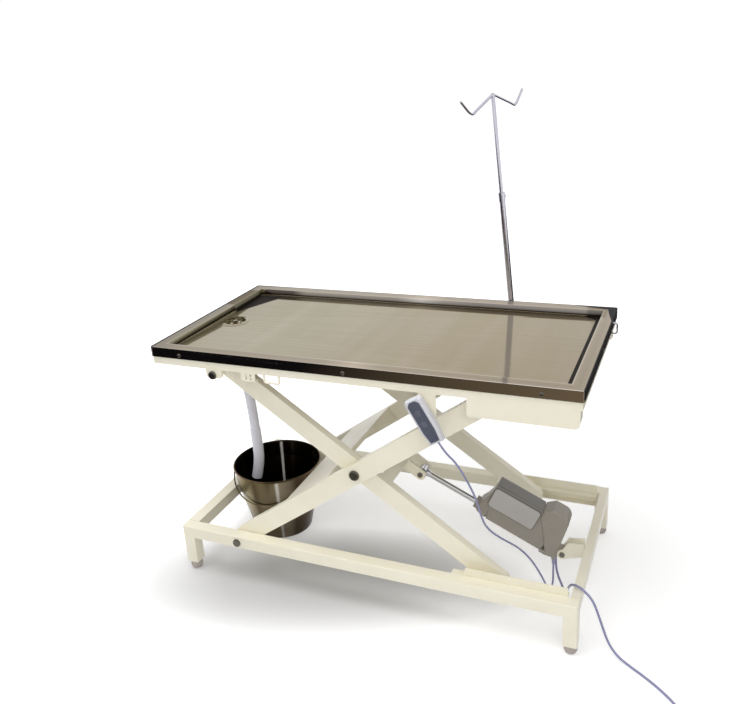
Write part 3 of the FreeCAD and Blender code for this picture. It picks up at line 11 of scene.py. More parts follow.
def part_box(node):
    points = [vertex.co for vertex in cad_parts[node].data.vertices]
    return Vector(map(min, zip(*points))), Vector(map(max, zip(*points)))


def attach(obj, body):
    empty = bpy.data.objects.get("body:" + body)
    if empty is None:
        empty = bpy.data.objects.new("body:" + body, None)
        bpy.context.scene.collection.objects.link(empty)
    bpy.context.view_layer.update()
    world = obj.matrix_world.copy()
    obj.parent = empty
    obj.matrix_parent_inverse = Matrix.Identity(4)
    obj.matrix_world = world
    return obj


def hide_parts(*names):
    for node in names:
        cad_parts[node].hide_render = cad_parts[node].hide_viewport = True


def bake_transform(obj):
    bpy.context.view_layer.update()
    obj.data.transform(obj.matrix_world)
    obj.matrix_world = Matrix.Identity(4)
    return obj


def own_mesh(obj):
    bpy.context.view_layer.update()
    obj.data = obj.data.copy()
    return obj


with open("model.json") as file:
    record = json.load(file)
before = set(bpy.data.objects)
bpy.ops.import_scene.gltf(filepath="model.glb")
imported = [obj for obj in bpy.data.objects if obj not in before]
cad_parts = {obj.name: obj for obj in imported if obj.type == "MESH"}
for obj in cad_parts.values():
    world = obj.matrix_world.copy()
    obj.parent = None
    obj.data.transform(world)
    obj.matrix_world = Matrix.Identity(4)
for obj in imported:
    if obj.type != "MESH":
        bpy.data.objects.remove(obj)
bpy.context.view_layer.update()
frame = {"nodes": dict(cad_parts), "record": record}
nodes = frame["nodes"]
slot_of_node = {row["node"]: row["material_slot"] for row in frame["record"]["subparts"]}

# Size of the picture that the camera frames, in pixels
PICTURE_WIDTH = 754

# Places that the frame gives
tray_low, tray_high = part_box("tray")
TRAY_TOP = tray_high.z
TRAY_DEPTH = 0.019
LIP_WIDTH = 0.038


# Node helpers for the materials

def new_material(name):
    """A material with its node tree and principled shader."""
    material = bpy.data.materials.new(name)
    material.use_nodes = True
    tree = material.node_tree
    return material, tree, tree.nodes["Principled BSDF"]


def link(tree, output, target):
    """Joins an output socket to an input socket."""
    tree.links.new(output, target)


def coordinates(tree, scale=(1, 1, 1)):
    """Object coordinates in metres, stretched by scale."""
    source = tree.nodes.new("ShaderNodeTexCoord")
    mapping = tree.nodes.new("ShaderNodeMapping")
    mapping.inputs["Scale"].default_value = scale
    link(tree, source.outputs["Object"], mapping.inputs["Vector"])
    return mapping.outputs["Vector"]


def noise(tree, vector, scale=1.0, detail=3.0, roughness=0.55):
    """Cloudy values round one half."""
    texture = tree.nodes.new("ShaderNodeTexNoise")
    texture.inputs["Scale"].default_value = scale
    texture.inputs["Detail"].default_value = detail
    texture.inputs["Roughness"].default_value = roughness
    link(tree, vector, texture.inputs["Vector"])
    return texture.outputs["Fac"]


def wave(tree, vector, scale, direction, distortion=0.0):
    """Bands square to one axis."""
    texture = tree.nodes.new("ShaderNodeTexWave")
    texture.bands_direction = direction
    texture.inputs["Scale"].default_value = scale
    texture.inputs["Distortion"].default_value = distortion
    link(tree, vector, texture.inputs["Vector"])
    return texture.outputs["Fac"]


def remap(tree, value, from_range, to_range):
    """A value carried from one range to another and held at its ends."""
    node = tree.nodes.new("ShaderNodeMapRange")
    node.inputs["From Min"].default_value = from_range[0]
    node.inputs["From Max"].default_value = from_range[1]
    node.inputs["To Min"].default_value = to_range[0]
    node.inputs["To Max"].default_value = to_range[1]
    link(tree, value, node.inputs["Value"])
    return node.outputs["Result"]


def math_node(tree, operation, first, second=0.0):
    """first and second are sockets or numbers."""
    node = tree.nodes.new("ShaderNodeMath")
    node.operation = operation
    for socket, value in zip(node.inputs, (first, second)):
        if isinstance(value, (int, float)):
            socket.default_value = value
        else:
            link(tree, value, socket)
    return node.outputs["Value"]


def within(tree, value, low, high, soft):
    """One between low and high, falling to zero over soft on both sides."""
    rise = remap(tree, value, (low - soft, low), (0.0, 1.0))
    fall = remap(tree, value, (high, high + soft), (1.0, 0.0))
    return math_node(tree, "MULTIPLY", rise, fall)


def largest(tree, *values):
    """The largest of several sockets."""
    result = values[0]
    for value in values[1:]:
        result = math_node(tree, "MAXIMUM", result, value)
    return result


def axis_value(tree, vector, axis):
    """One coordinate of a vector socket."""
    node = tree.nodes.new("ShaderNodeSeparateXYZ")
    link(tree, vector, node.inputs["Vector"])
    return node.outputs[axis]


def blend_colours(tree, factor, first, second):
    """Two colours, or sockets, mixed by a factor socket."""
    node = tree.nodes.new("ShaderNodeMix")
    node.data_type = "RGBA"
    link(tree, factor, node.inputs["Factor"])
    for socket, value in ((node.inputs[6], first), (node.inputs[7], second)):
        if isinstance(value, tuple):
            socket.default_value = (*value, 1.0)
        else:
            link(tree, value, socket)
    return node.outputs[2]


def multiplied(tree, first, second):
    """The product of two colour sockets."""
    node = tree.nodes.new("ShaderNodeMix")
    node.data_type = "RGBA"
    node.blend_type = "MULTIPLY"
    node.inputs["Factor"].default_value = 1.0
    link(tree, first, node.inputs[6])
    link(tree, second, node.inputs[7])
    return node.outputs[2]


def colour_ramp(tree, factor, stops):
    """Colours at places from zero to one, each a place and a colour."""
    node = tree.nodes.new("ShaderNodeValToRGB")
    ramp = node.color_ramp
    while len(ramp.elements) < len(stops):
        ramp.elements.new(0.5)
    for element, (place, colour) in zip(ramp.elements, stops):
        element.position = place
        element.color = (*colour, 1.0)
    link(tree, factor, node.inputs["Fac"])
    return node.outputs["Color"]


def surface_normal(tree, axis):
    """One coordinate of the surface's normal in the scene."""
    source = tree.nodes.new("ShaderNodeNewGeometry")
    return axis_value(tree, source.outputs["Normal"], axis)


def bump(tree, shader, height, distance, strength=1.0):
    """Raises the surface by distance, in metres, where height is one."""
    node = tree.nodes.new("ShaderNodeBump")
    node.inputs["Distance"].default_value = distance
    node.inputs["Strength"].default_value = strength
    link(tree, height, node.inputs["Height"])
    link(tree, node.outputs["Normal"], shader.inputs["Normal"])


# Finishes

def powder_coat():
    """Ivory satin powder coat with a fine orange peel and faint dust."""
    material, tree, shader = new_material("frame_paint")
    place = coordinates(tree)
    cloud = noise(tree, place, scale=9.0, detail=4.0)
    tint = remap(tree, cloud, (0.35, 0.7), (0.0, 1.0))
    colour = blend_colours(tree, tint, (0.94, 0.895, 0.745), (0.91, 0.86, 0.69))
    link(tree, colour, shader.inputs["Base Color"])
    peel = noise(tree, place, scale=650.0, detail=2.0)
    roughness = remap(tree, cloud, (0.3, 0.7), (0.34, 0.46))
    link(tree, roughness, shader.inputs["Roughness"])
    shader.inputs["Coat Weight"].default_value = 0.15
    shader.inputs["Coat Roughness"].default_value = 0.25
    bump(tree, shader, peel, 0.00012, 0.5)
    return material


# Painted dark reflections on the basin floor, in its far corners and along the right wall's foot: slants and
# limits in metres, in the table's own frame
LEFT_SLANT = 0.514
LEFT_EDGE = (-0.648, -0.641)
LEFT_DEPTH = (0.10, 0.262)
RIGHT_SLANT = 0.845
RIGHT_EDGE = (0.738, 0.748)
RIGHT_SPAN = (0.568, 0.62)
RIGHT_LINE_SPAN = (0.5955, 0.606)
RIGHT_LINE_DEPTH = (-0.246, 0.30)


def tray_floor_colour(tree, plain, end_share, streaks):
    """Brushed sheet, warmer to the right, with a painted reflection that darkens its left end and painted
    dark reflections in the far corners and along the right wall's foot.
    """
    along, across = axis_value(tree, plain, "X"), axis_value(tree, plain, "Y")
    band_place = coordinates(tree, scale=(9.0, 0.7, 1.0))
    bands = noise(tree, band_place, scale=1.0, detail=3.0)
    brushed = blend_colours(tree, streaks, (0.265, 0.23, 0.165), (0.49, 0.44, 0.345))
    banded = blend_colours(tree, remap(tree, bands, (0.4, 0.6), (0.0, 0.7)), brushed, (0.335, 0.30, 0.20))
    # Painted reflection along the table: darkest at the left end, brightest from a fifth of the way to the
    # middle.
    tone = colour_ramp(tree, end_share, [
        (0.0, (0.66, 0.64, 0.56)), (0.06, (0.90, 0.88, 0.80)), (0.22, (1.02, 1.04, 1.00)),
        (0.5, (1.0, 0.96, 0.88)), (0.7, (0.96, 0.89, 0.78)), (1.0, (0.90, 0.84, 0.77))])
    sheet = multiplied(tree, banded, tone)
    # Painted dark reflections: a triangle by the back of the left wall, a wedge in the back right corner and
    # a line along the foot of the right wall.
    left_slant = math_node(tree, "SUBTRACT", along, math_node(tree, "MULTIPLY", across, LEFT_SLANT))
    left_corner_painted_reflection = math_node(tree, "MULTIPLY", remap(tree, left_slant, LEFT_EDGE, (1.0, 0.0)),
                           within(tree, across, *LEFT_DEPTH, 0.008))
    right_slant = math_node(tree, "ADD", across, math_node(tree, "MULTIPLY", along, RIGHT_SLANT))
    right_corner_painted_reflection = math_node(tree, "MULTIPLY", remap(tree, right_slant, RIGHT_EDGE, (0.0, 1.0)),
                            within(tree, along, *RIGHT_SPAN, 0.014))
    right_wall_painted_reflection = math_node(tree, "MULTIPLY", within(tree, along, *RIGHT_LINE_SPAN, 0.001),
                           within(tree, across, *RIGHT_LINE_DEPTH, 0.004))
    painted_dark_reflections = largest(tree, left_corner_painted_reflection, right_corner_painted_reflection, right_wall_painted_reflection)
    return blend_colours(tree, painted_dark_reflections, sheet, (0.018, 0.014, 0.011)), painted_dark_reflections


def tray_steel():
    """Stainless sheet brushed along the table, its colour holding painted reflections: painted dark
    reflections on the rolled edges, painted highlights on the bends, painted shade at the feet of the walls.
    """
    material, tree, shader = new_material("steel_sheet")
    plain = coordinates(tree)
    along, across, height = (axis_value(tree, plain, axis) for axis in "XYZ")
    floor_top = TRAY_TOP - TRAY_DEPTH
    front = math_node(tree, "SUBTRACT", across, tray_low.y)
    back = math_node(tree, "SUBTRACT", tray_high.y, across)
    left = math_node(tree, "SUBTRACT", along, tray_low.x)
    right = math_node(tree, "SUBTRACT", tray_high.x, along)
    far_edge = math_node(tree, "MINIMUM", math_node(tree, "MINIMUM", left, right), back)
    edge = math_node(tree, "MINIMUM", far_edge, front)
    end_share = remap(tree, along, (tray_low.x, tray_high.x), (0.0, 1.0))
    streak_place = coordinates(tree, scale=(1.6, 190.0, 190.0))
    streaks = noise(tree, streak_place, scale=1.0, detail=5.0, roughness=0.7)
    floor, painted_dark_reflections = tray_floor_colour(tree, plain, end_share, streaks)

    lip_share = remap(tree, edge, (0.0, LIP_WIDTH), (0.0, 1.0))
    # Painted highlights on the lip's outer edge and on its inner bend.
    lip = colour_ramp(tree, lip_share, [
        (0.0, (0.42, 0.37, 0.30)), (0.06, (0.36, 0.31, 0.24)), (0.5, (0.31, 0.265, 0.20)),
        (0.86, (0.34, 0.295, 0.23)), (0.95, (0.50, 0.46, 0.40)), (1.0, (0.42, 0.38, 0.32))])
    # Painted reflections along the lip: darker at the left end, with a painted highlight near the middle.
    lip_painted_reflections = colour_ramp(tree, end_share, [
        (0.0, (0.55, 0.52, 0.44)), (0.08, (0.85, 0.82, 0.74)), (0.45, (1.02, 1.0, 0.96)),
        (0.52, (1.5, 1.45, 1.4)), (0.58, (1.05, 1.0, 0.95)), (0.94, (0.95, 0.90, 0.84)),
        (1.0, (0.98, 0.95, 0.90))])
    lip = multiplied(tree, lip, lip_painted_reflections)
    # Painted highlight along the front lip's outer fold, growing to the right.
    painted_fold_highlight = within(tree, front, 0.0, 0.0022, 0.0012)
    painted_fold_highlight = math_node(tree, "MULTIPLY", painted_fold_highlight, remap(tree, along, (-0.1, 0.5), (0.1, 0.9)))
    lip = blend_colours(tree, painted_fold_highlight, lip, (0.88, 0.82, 0.76))
    # Painted dark reflection on the rolled outer edges of the back and both ends: 4 mm wide, wider near the
    # back right corner and towards the left end.
    corner_x = math_node(tree, "POWER", right, 2.0)
    corner_y = math_node(tree, "POWER", back, 2.0)
    corner = math_node(tree, "SQRT", math_node(tree, "ADD", corner_x, corner_y))
    painted_roll_width = largest(tree, remap(tree, corner, (0.03, 0.13), (0.028, 0.004)),
                         remap(tree, along, (-0.62, -0.28), (0.008, 0.0)))
    painted_roll_reflection = remap(tree, math_node(tree, "SUBTRACT", far_edge, painted_roll_width), (-0.0015, 0.0005), (1.0, 0.0))
    lip = blend_colours(tree, painted_roll_reflection, lip, (0.02, 0.017, 0.018))

    wall_share = remap(tree, height, (floor_top, TRAY_TOP), (0.0, 1.0))
    # Painted shade at the foot of the walls and a painted highlight on their top bend.
    wall = colour_ramp(tree, wall_share, [
        (0.0, (0.02, 0.016, 0.013)), (0.22, (0.03, 0.024, 0.019)), (0.36, (0.17, 0.16, 0.15)),
        (0.62, (0.26, 0.25, 0.235)), (0.90, (0.30, 0.285, 0.265)), (0.96, (0.50, 0.48, 0.455)),
        (1.0, (0.46, 0.43, 0.40))])
    # Painted reflections along the walls: olive at the left end, a dark dash, and a painted highlight near
    # the middle.
    wall_painted_reflections = colour_ramp(tree, end_share, [
        (0.0, (1.0, 0.95, 0.74)), (0.036, (1.05, 1.0, 0.74)), (0.044, (0.30, 0.25, 0.25)),
        (0.13, (0.34, 0.28, 0.27)), (0.17, (1.0, 0.95, 0.86)), (0.44, (1.0, 0.94, 0.90)),
        (0.51, (1.8, 1.78, 1.75)), (0.57, (1.1, 1.04, 1.0)), (0.66, (0.85, 0.80, 0.77)),
        (1.0, (1.0, 0.95, 0.92))])
    wall = multiplied(tree, wall, wall_painted_reflections)

    flat = remap(tree, surface_normal(tree, "Z"), (0.90, 0.985), (0.0, 1.0))
    above_floor = remap(tree, height, (floor_top + 0.0002, floor_top + 0.0012), (0.0, 1.0))
    at_top = remap(tree, height, (TRAY_TOP - 0.0012, TRAY_TOP - 0.0004), (0.0, 1.0))
    raised = blend_colours(tree, at_top, wall, lip)
    basin = blend_colours(tree, above_floor, floor, raised)
    # The skirt's faces towards +X carry a painted dark reflection.
    skirt = blend_colours(tree, remap(tree, surface_normal(tree, "X"), (0.5, 0.9), (0.0, 1.0)),
                          (0.52, 0.47, 0.42), (0.03, 0.026, 0.026))
    outside = math_node(tree, "MULTIPLY", remap(tree, edge, (0.0012, 0.0020), (1.0, 0.0)),
                        remap(tree, flat, (0.0, 0.6), (1.0, 0.0)))
    link(tree, blend_colours(tree, outside, basin, skirt), shader.inputs["Base Color"])
    shader.inputs["Metallic"].default_value = 1.0
    polish = remap(tree, streaks, (0.25, 0.75), (0.05, 0.11))
    near_wall = remap(tree, edge, (LIP_WIDTH + 0.004, LIP_WIDTH + 0.045), (0.42, 0.0))
    near_wall = math_node(tree, "MULTIPLY", near_wall, math_node(tree, "SUBTRACT", 1.0, above_floor))
    near_wall = math_node(tree, "MULTIPLY", near_wall, math_node(tree, "SUBTRACT", 1.0, outside))
    dull = math_node(tree, "MULTIPLY", largest(tree, painted_dark_reflections, painted_roll_reflection), 0.6)
    link(tree, largest(tree, polish, near_wall, dull), shader.inputs["Roughness"])
    dents = noise(tree, plain, scale=4.0, detail=1.0)
    fine = math_node(tree, "MULTIPLY", streaks, 0.008)
    bump(tree, shader, math_node(tree, "ADD", dents, fine), 0.0004, 0.5)
    return material


def turned_steel(name, dark, light, roughness, ring_scale=900.0, direction="Z"):
    """Spun or drawn steel with fine rings square to one axis."""
    material, tree, shader = new_material(name)
    place = coordinates(tree)
    rings = wave(tree, place, ring_scale, direction, distortion=2.5)
    cloud = noise(tree, place, scale=14.0, detail=4.0)
    shade = math_node(tree, "MULTIPLY", rings, cloud)
    colour = blend_colours(tree, shade, dark, light)
    link(tree, colour, shader.inputs["Base Color"])
    shader.inputs["Metallic"].default_value = 1.0
    uneven = remap(tree, cloud, (0.3, 0.7), (roughness * 0.75, roughness * 1.3))
    link(tree, uneven, shader.inputs["Roughness"])
    bump(tree, shader, rings, 0.00003, 0.4)
    return material


def bucket_steel():
    """Spun bronze-toned steel with fine rings, darker towards the bottom and at the rim; its colour holds
    painted reflections: dark bands and a painted upright highlight outside, painted shade inside with a
    painted upright highlight.
    """
    material, tree, shader = new_material("bucket_steel")
    place = coordinates(tree)
    axis_low, axis_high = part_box("bucket")
    across = math_node(tree, "SUBTRACT", axis_value(tree, place, "X"), (axis_low.x + axis_high.x) / 2)
    depth = math_node(tree, "SUBTRACT", axis_value(tree, place, "Y"), (axis_low.y + axis_high.y) / 2)
    angle = math_node(tree, "ARCTAN2", depth, across)
    round_share = remap(tree, angle, (-math.pi, math.pi), (0.0, 1.0))
    outward = math_node(tree, "ADD", math_node(tree, "MULTIPLY", across, surface_normal(tree, "X")),
                        math_node(tree, "MULTIPLY", depth, surface_normal(tree, "Y")))
    outer = remap(tree, outward, (-0.01, 0.01), (0.0, 1.0))
    # Painted reflections round the outside: dark bands and a painted upright highlight.
    outside = colour_ramp(tree, round_share, [
        (0.0, (0.20, 0.15, 0.09)), (0.10, (0.10, 0.07, 0.04)), (0.17, (0.30, 0.25, 0.13)),
        (0.215, (0.26, 0.215, 0.11)), (0.235, (0.12, 0.085, 0.04)), (0.26, (0.25, 0.20, 0.11)),
        (0.319, (0.31, 0.25, 0.15)), (0.324, (1.0, 0.96, 0.88)), (0.330, (1.0, 0.96, 0.88)),
        (0.336, (0.44, 0.36, 0.25)), (0.375, (0.33, 0.27, 0.19)), (0.40, (0.12, 0.085, 0.05)),
        (0.45, (0.09, 0.058, 0.028)), (0.60, (0.05, 0.035, 0.02)), (1.0, (0.20, 0.15, 0.09))])
    lower = remap(tree, axis_value(tree, place, "Z"), (0.04, 0.13), (0.40, 1.0))
    tones = tree.nodes.new("ShaderNodeCombineColor")
    for channel in ("Red", "Green", "Blue"):
        link(tree, lower, tones.inputs[channel])
    outside = multiplied(tree, outside, tones.outputs["Color"])
    # Painted shade inside, with a faint lighter band and a painted upright highlight.
    inside = colour_ramp(tree, round_share, [
        (0.0, (0.02, 0.017, 0.013)), (0.50, (0.012, 0.010, 0.009)), (0.62, (0.03, 0.025, 0.02)),
        (0.76, (0.03, 0.024, 0.018)), (0.772, (0.16, 0.13, 0.09)), (0.785, (0.02, 0.016, 0.013)),
        (0.810, (0.02, 0.016, 0.013)), (0.813, (0.95, 0.93, 0.90)), (0.821, (0.95, 0.93, 0.90)),
        (0.824, (0.02, 0.016, 0.013)), (0.92, (0.03, 0.025, 0.02)), (1.0, (0.02, 0.017, 0.013))])
    # The painted inside highlight is left without metal so that its pale colour shows.
    inner_painted_highlight = math_node(tree, "MULTIPLY", within(tree, round_share, 0.813, 0.821, 0.003),
                             math_node(tree, "SUBTRACT", 1.0, outer))
    rim = remap(tree, axis_value(tree, place, "Z"), (axis_high.z - 0.007, axis_high.z - 0.006), (0.0, 1.0))
    rings = wave(tree, place, 160.0, "Z", distortion=1.2)
    shaded = blend_colours(tree, outer, inside, outside)
    darker = blend_colours(tree, remap(tree, rings, (0.0, 1.0), (0.0, 0.42)), shaded, (0.07, 0.05, 0.03))
    rimmed = blend_colours(tree, rim, darker, (0.13, 0.09, 0.05))
    link(tree, rimmed, shader.inputs["Base Color"])
    link(tree, math_node(tree, "SUBTRACT", 1.0, inner_painted_highlight), shader.inputs["Metallic"])
    shader.inputs["Roughness"].default_value = 0.26
    bump(tree, shader, rings, 0.00012, 0.5)
    return material


def moulded(name, dark, light, roughness, grain=900.0, depth=0.00008):
    """Moulded plastic or rubber with a fine spark-eroded grain."""
    material, tree, shader = new_material(name)
    place = coordinates(tree)
    grains = noise(tree, place, scale=grain, detail=2.0)
    cloud = noise(tree, place, scale=22.0, detail=4.0)
    colour = blend_colours(tree, cloud, dark, light)
    link(tree, colour, shader.inputs["Base Color"])
    uneven = remap(tree, cloud, (0.3, 0.7), (roughness - 0.06, roughness + 0.08))
    link(tree, uneven, shader.inputs["Roughness"])
    bump(tree, shader, grains, depth, 0.6)
    return material


finishes = {
    "frame_paint": powder_coat(),
    "steel_sheet": tray_steel(),
    "bolt_steel": turned_steel("bolt_steel", (0.10, 0.095, 0.08), (0.34, 0.32, 0.28), 0.32),
    "rubber": moulded("rubber", (0.42, 0.36, 0.33), (0.52, 0.46, 0.43), 0.62),
    "roller_nylon": moulded("roller_nylon", (0.60, 0.58, 0.52), (0.70, 0.68, 0.62), 0.42),
    "actuator_cover": moulded("actuator_cover", (0.17, 0.16, 0.15), (0.21, 0.20, 0.185), 0.34),
    "actuator_body": moulded("actuator_body", (0.30, 0.275, 0.235), (0.36, 0.33, 0.285), 0.38),
    "actuator_panel": moulded("actuator_panel", (0.47, 0.455, 0.44), (0.53, 0.515, 0.50), 0.34),
    "seam": moulded("seam", (0.05, 0.046, 0.042), (0.08, 0.074, 0.066), 0.5),
    "rod_chrome": turned_steel("rod_chrome", (0.55, 0.55, 0.57), (0.78, 0.78, 0.80), 0.10),
    "pole_steel": turned_steel("pole_steel", (0.50, 0.49, 0.56), (0.74, 0.73, 0.80), 0.14),
    "handset_shell": moulded("handset_shell", (0.62, 0.62, 0.66), (0.70, 0.70, 0.74), 0.40),
    "keypad": moulded("keypad", (0.075, 0.085, 0.12), (0.105, 0.115, 0.155), 0.36),
    "button": moulded("button", (0.10, 0.11, 0.15), (0.14, 0.15, 0.19), 0.40),
    "cord": moulded("cord", (0.24, 0.24, 0.40), (0.32, 0.32, 0.50), 0.45),
    "hose": moulded("hose", (0.84, 0.83, 0.93), (0.92, 0.92, 0.98), 0.40),
    "bucket_steel": bucket_steel(),
    "plug": moulded("plug", (0.30, 0.30, 0.46), (0.36, 0.36, 0.54), 0.42),
}

for node_name, node_object in nodes.items():
    node_object.data.materials.clear()
    node_object.data.materials.append(finishes[slot_of_node[node_name]])


# Cords and hose: the same control points as the tubes of the model, in metres

HOSE_RADIUS = 0.0175
HANDSET_CORD_RADIUS = 0.003
MAINS_CORD_RADIUS = 0.0035

hose_route = [
    (-0.550, 0.000, TRAY_TOP - 0.105), (-0.550, 0.000, TRAY_TOP - 0.165), (-0.545, 0.004, 0.590),
    (-0.537, 0.008, 0.520), (-0.533, 0.010, 0.440), (-0.532, 0.011, 0.370), (-0.528, 0.008, 0.310),
    (-0.526, 0.002, 0.255), (-0.540, -0.004, 0.195),
]

handset_route = [
    (0.2745, -0.3393, 0.6262), (0.291, -0.338, 0.597), (0.317, -0.322, 0.560),
    (0.344, -0.302, 0.490), (0.359, -0.276, 0.420), (0.358, -0.241, 0.354),
    (0.364, -0.206, 0.290), (0.394, -0.171, 0.240), (0.442, -0.138, 0.195),
    (0.474, -0.119, 0.148), (0.497, -0.110, 0.103), (0.514, -0.104, 0.062),
    (0.523, -0.097, 0.032), (0.529, -0.084, 0.024), (0.532, -0.070, 0.038),
    (0.532, -0.065, 0.068), (0.532, -0.065, 0.106),
]

mains_route = [
    (0.532, -0.025, 0.106), (0.532, -0.025, 0.072), (0.542, -0.038, 0.044),
    (0.560, -0.066, 0.032), (0.574, -0.104, 0.042), (0.586, -0.146, 0.076),
    (0.597, -0.188, 0.122), (0.608, -0.224, 0.164), (0.626, -0.250, 0.188),
    (0.652, -0.264, 0.186), (0.678, -0.270, 0.162), (0.694, -0.276, 0.124),
    (0.708, -0.280, 0.084), (0.724, -0.286, 0.044), (0.750, -0.294, 0.014),
    (0.786, -0.310, 0.004), (0.826, -0.336, 0.0036), (0.872, -0.372, 0.0036),
    (0.918, -0.420, 0.0036), (0.9547, -0.4807, 0.0036),
]


def spline_curve(name, points):
    """An open smooth curve whose control points are the route."""
    curve = bpy.data.curves.new(name, "CURVE")
    curve.dimensions = "3D"
    spline = curve.splines.new("NURBS")
    spline.points.add(len(points) - 1)
    for point, place in zip(spline.points, points):
        point.co = (*place, 1.0)
    spline.order_u = 3
    spline.use_endpoint_u = True
    spline.resolution_u = 8
    piece = bpy.data.objects.new(name, curve)
    bpy.context.scene.collection.objects.link(piece)
    return piece


def spline_points(points):
    """The smooth line through a route, as a list of vectors."""
    guide = spline_curve("route_guide", points)
    bpy.context.view_layer.update()
    mesh = bpy.data.meshes.new_from_object(guide)
    line = [vertex.co.copy() for vertex in mesh.vertices]
    bpy.data.meshes.remove(mesh)
    curve = guide.data
    bpy.data.objects.remove(guide)
    bpy.data.curves.remove(curve)
    return line


def even_points(line, step):
    """The same line with points at one spacing."""
    lengths = [0.0]
    for before, after in zip(line, line[1:]):
        lengths.append(lengths[-1] + (after - before).length)
    count = max(2, round(lengths[-1] / step))
    wanted = np.linspace(0.0, lengths[-1], count + 1)
    columns = [np.interp(wanted, lengths, [point[axis] for point in line]) for axis in range(3)]
    return [Vector(place) for place in zip(*columns)], lengths[-1]


def new_piece(name, vertices, faces, finish, body, smooth=True):
    """A mesh piece in the model's own frame that rides on one body."""
    mesh = bpy.data.meshes.new(name)
    mesh.from_pydata([tuple(vertex) for vertex in vertices], [], faces)
    mesh.validate()
    mesh.update()
    mesh.materials.append(finishes[finish])
    for polygon in mesh.polygons:
        polygon.use_smooth = smooth
    piece = bpy.data.objects.new(name, mesh)
    bpy.context.scene.collection.objects.link(piece)
    if body:
        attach(piece, body)
    return piece


def swept_tube(name, line, radius_at, finish, body, sides=20):
    """A tube along a line, its ends closed, with a radius for each share of its length."""
    last_point = len(line) - 1
    tangents = [(line[min(i + 1, last_point)] - line[max(i - 1, 0)]).normalized()
                for i in range(len(line))]
    side = tangents[0].orthogonal().normalized()
    vertices = []
    for index, (centre, tangent) in enumerate(zip(line, tangents)):
        side = (side - tangent * side.dot(tangent)).normalized()
        up = tangent.cross(side)
        radius = radius_at(index / last_point)
        for step in range(sides):
            angle = 2 * math.pi * step / sides
            vertices.append(centre + radius * (math.cos(angle) * side + math.sin(angle) * up))
    faces = []
    for ring in range(last_point):
        for step in range(sides):
            near, far = ring * sides, (ring + 1) * sides
            after = (step + 1) % sides
            faces.append((near + step, near + after, far + after, far + step))
    faces.append(tuple(range(sides - 1, -1, -1)))
    last = last_point * sides
    faces.append(tuple(last + step for step in range(sides)))
    return new_piece(name, vertices, faces, finish, body)


def drain_hose():
    """Corrugated hose on the drain tail, with a smooth cuff on its lower end."""
    line, length = even_points(spline_points(hose_route), 0.0011)
    rib_pitch, rib_height = 0.0056, 0.0014
    cuff_start, cuff_radius = 0.62, HOSE_RADIUS + 0.0012

    def radius_at(share):
        if share > cuff_start:
            step_in = min(1.0, (share - cuff_start) / 0.012)
            return HOSE_RADIUS - rib_height + step_in * (cuff_radius - HOSE_RADIUS + rib_height)
        phase = math.sin(2 * math.pi * share * length / rib_pitch)
        return HOSE_RADIUS - rib_height * (0.5 - 0.5 * phase)

    hose = swept_tube("corrugated_drain_hose", line, radius_at, "hose", "top", sides=32)
    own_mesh(hose)
    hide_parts("drain_hose")


def handset_cord():
    """Thin lead from the hand control down to the drive unit."""
    line, length = even_points(spline_points(handset_route), 0.004)
    cord = swept_tube("hand_control_lead", line, lambda share: HANDSET_CORD_RADIUS, "cord", "base", 14)
    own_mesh(cord)
    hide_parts("handset_cord")


def coil_points():
    """Nine turns in three layers of three, from the outer bottom turn to the top."""
    low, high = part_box("mains_cord_coil")
    centre = (low + high) / 2
    pitch = 2 * MAINS_CORD_RADIUS
    outer = (high.x - low.x) / 2 - MAINS_CORD_RADIUS
    turns, steps = 9, 16
    start_angle = math.atan2(mains_route[-1][1] - centre.y, mains_route[-1][0] - centre.x)
    points = []
    for index in range(1, turns * steps + 1):
        turn = index / steps
        layer, across = divmod(min(turn, turns - 0.001), 3)
        inward = across if layer % 2 == 0 else 3 - across
        radius = outer - pitch * min(2.0, inward * 2 / 3)
        height = MAINS_CORD_RADIUS + pitch * min(2.0, layer + max(0.0, across - 2.4) / 0.6)
        angle = start_angle + 2 * math.pi * turn
        points.append((centre.x + radius * math.cos(angle), centre.y + radius * math.sin(angle), height))
    return points


def mains_cord():
    """Supply lead over the base frame and along the floor, its spare length in a coil."""
    line, length = even_points(spline_points(mains_route + coil_points()), 0.004)
    cord = swept_tube("mains_lead", line, lambda share: MAINS_CORD_RADIUS, "cord", None, 12)
    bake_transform(cord)
    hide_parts("mains_cord", "mains_cord_coil")


drain_hose()
handset_cord()
mains_cord()


# Drive unit: nose, raised side panels, seams, drawn along its own axis from the rear pin

REAR_PIN = Vector((0.557, -0.045, 0.142))
front_pin_low, front_pin_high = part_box("actuator_front_pins")
DRIVE_AXIS = ((front_pin_low + front_pin_high) / 2 - REAR_PIN) * Vector((1, 0, 1))
DRIVE_AXIS.normalize()
DRIVE_UP = Vector((DRIVE_AXIS.z, 0.0, -DRIVE_AXIS.x))

NOSE_HALF_WIDTH = 0.0255
HEEL_HALF_WIDTH = 0.0326
PANEL_FACE = 0.0304
PANEL_START, PANEL_END = 0.1150, 0.2640
PANEL_BOTTOM, PANEL_TOP = 0.0315, 0.1015
PANEL_CORNER = 0.0100
PANEL_RISE = 0.0022
SEAM_WIDTH = 0.0015
SEAM_RISE = 0.0006


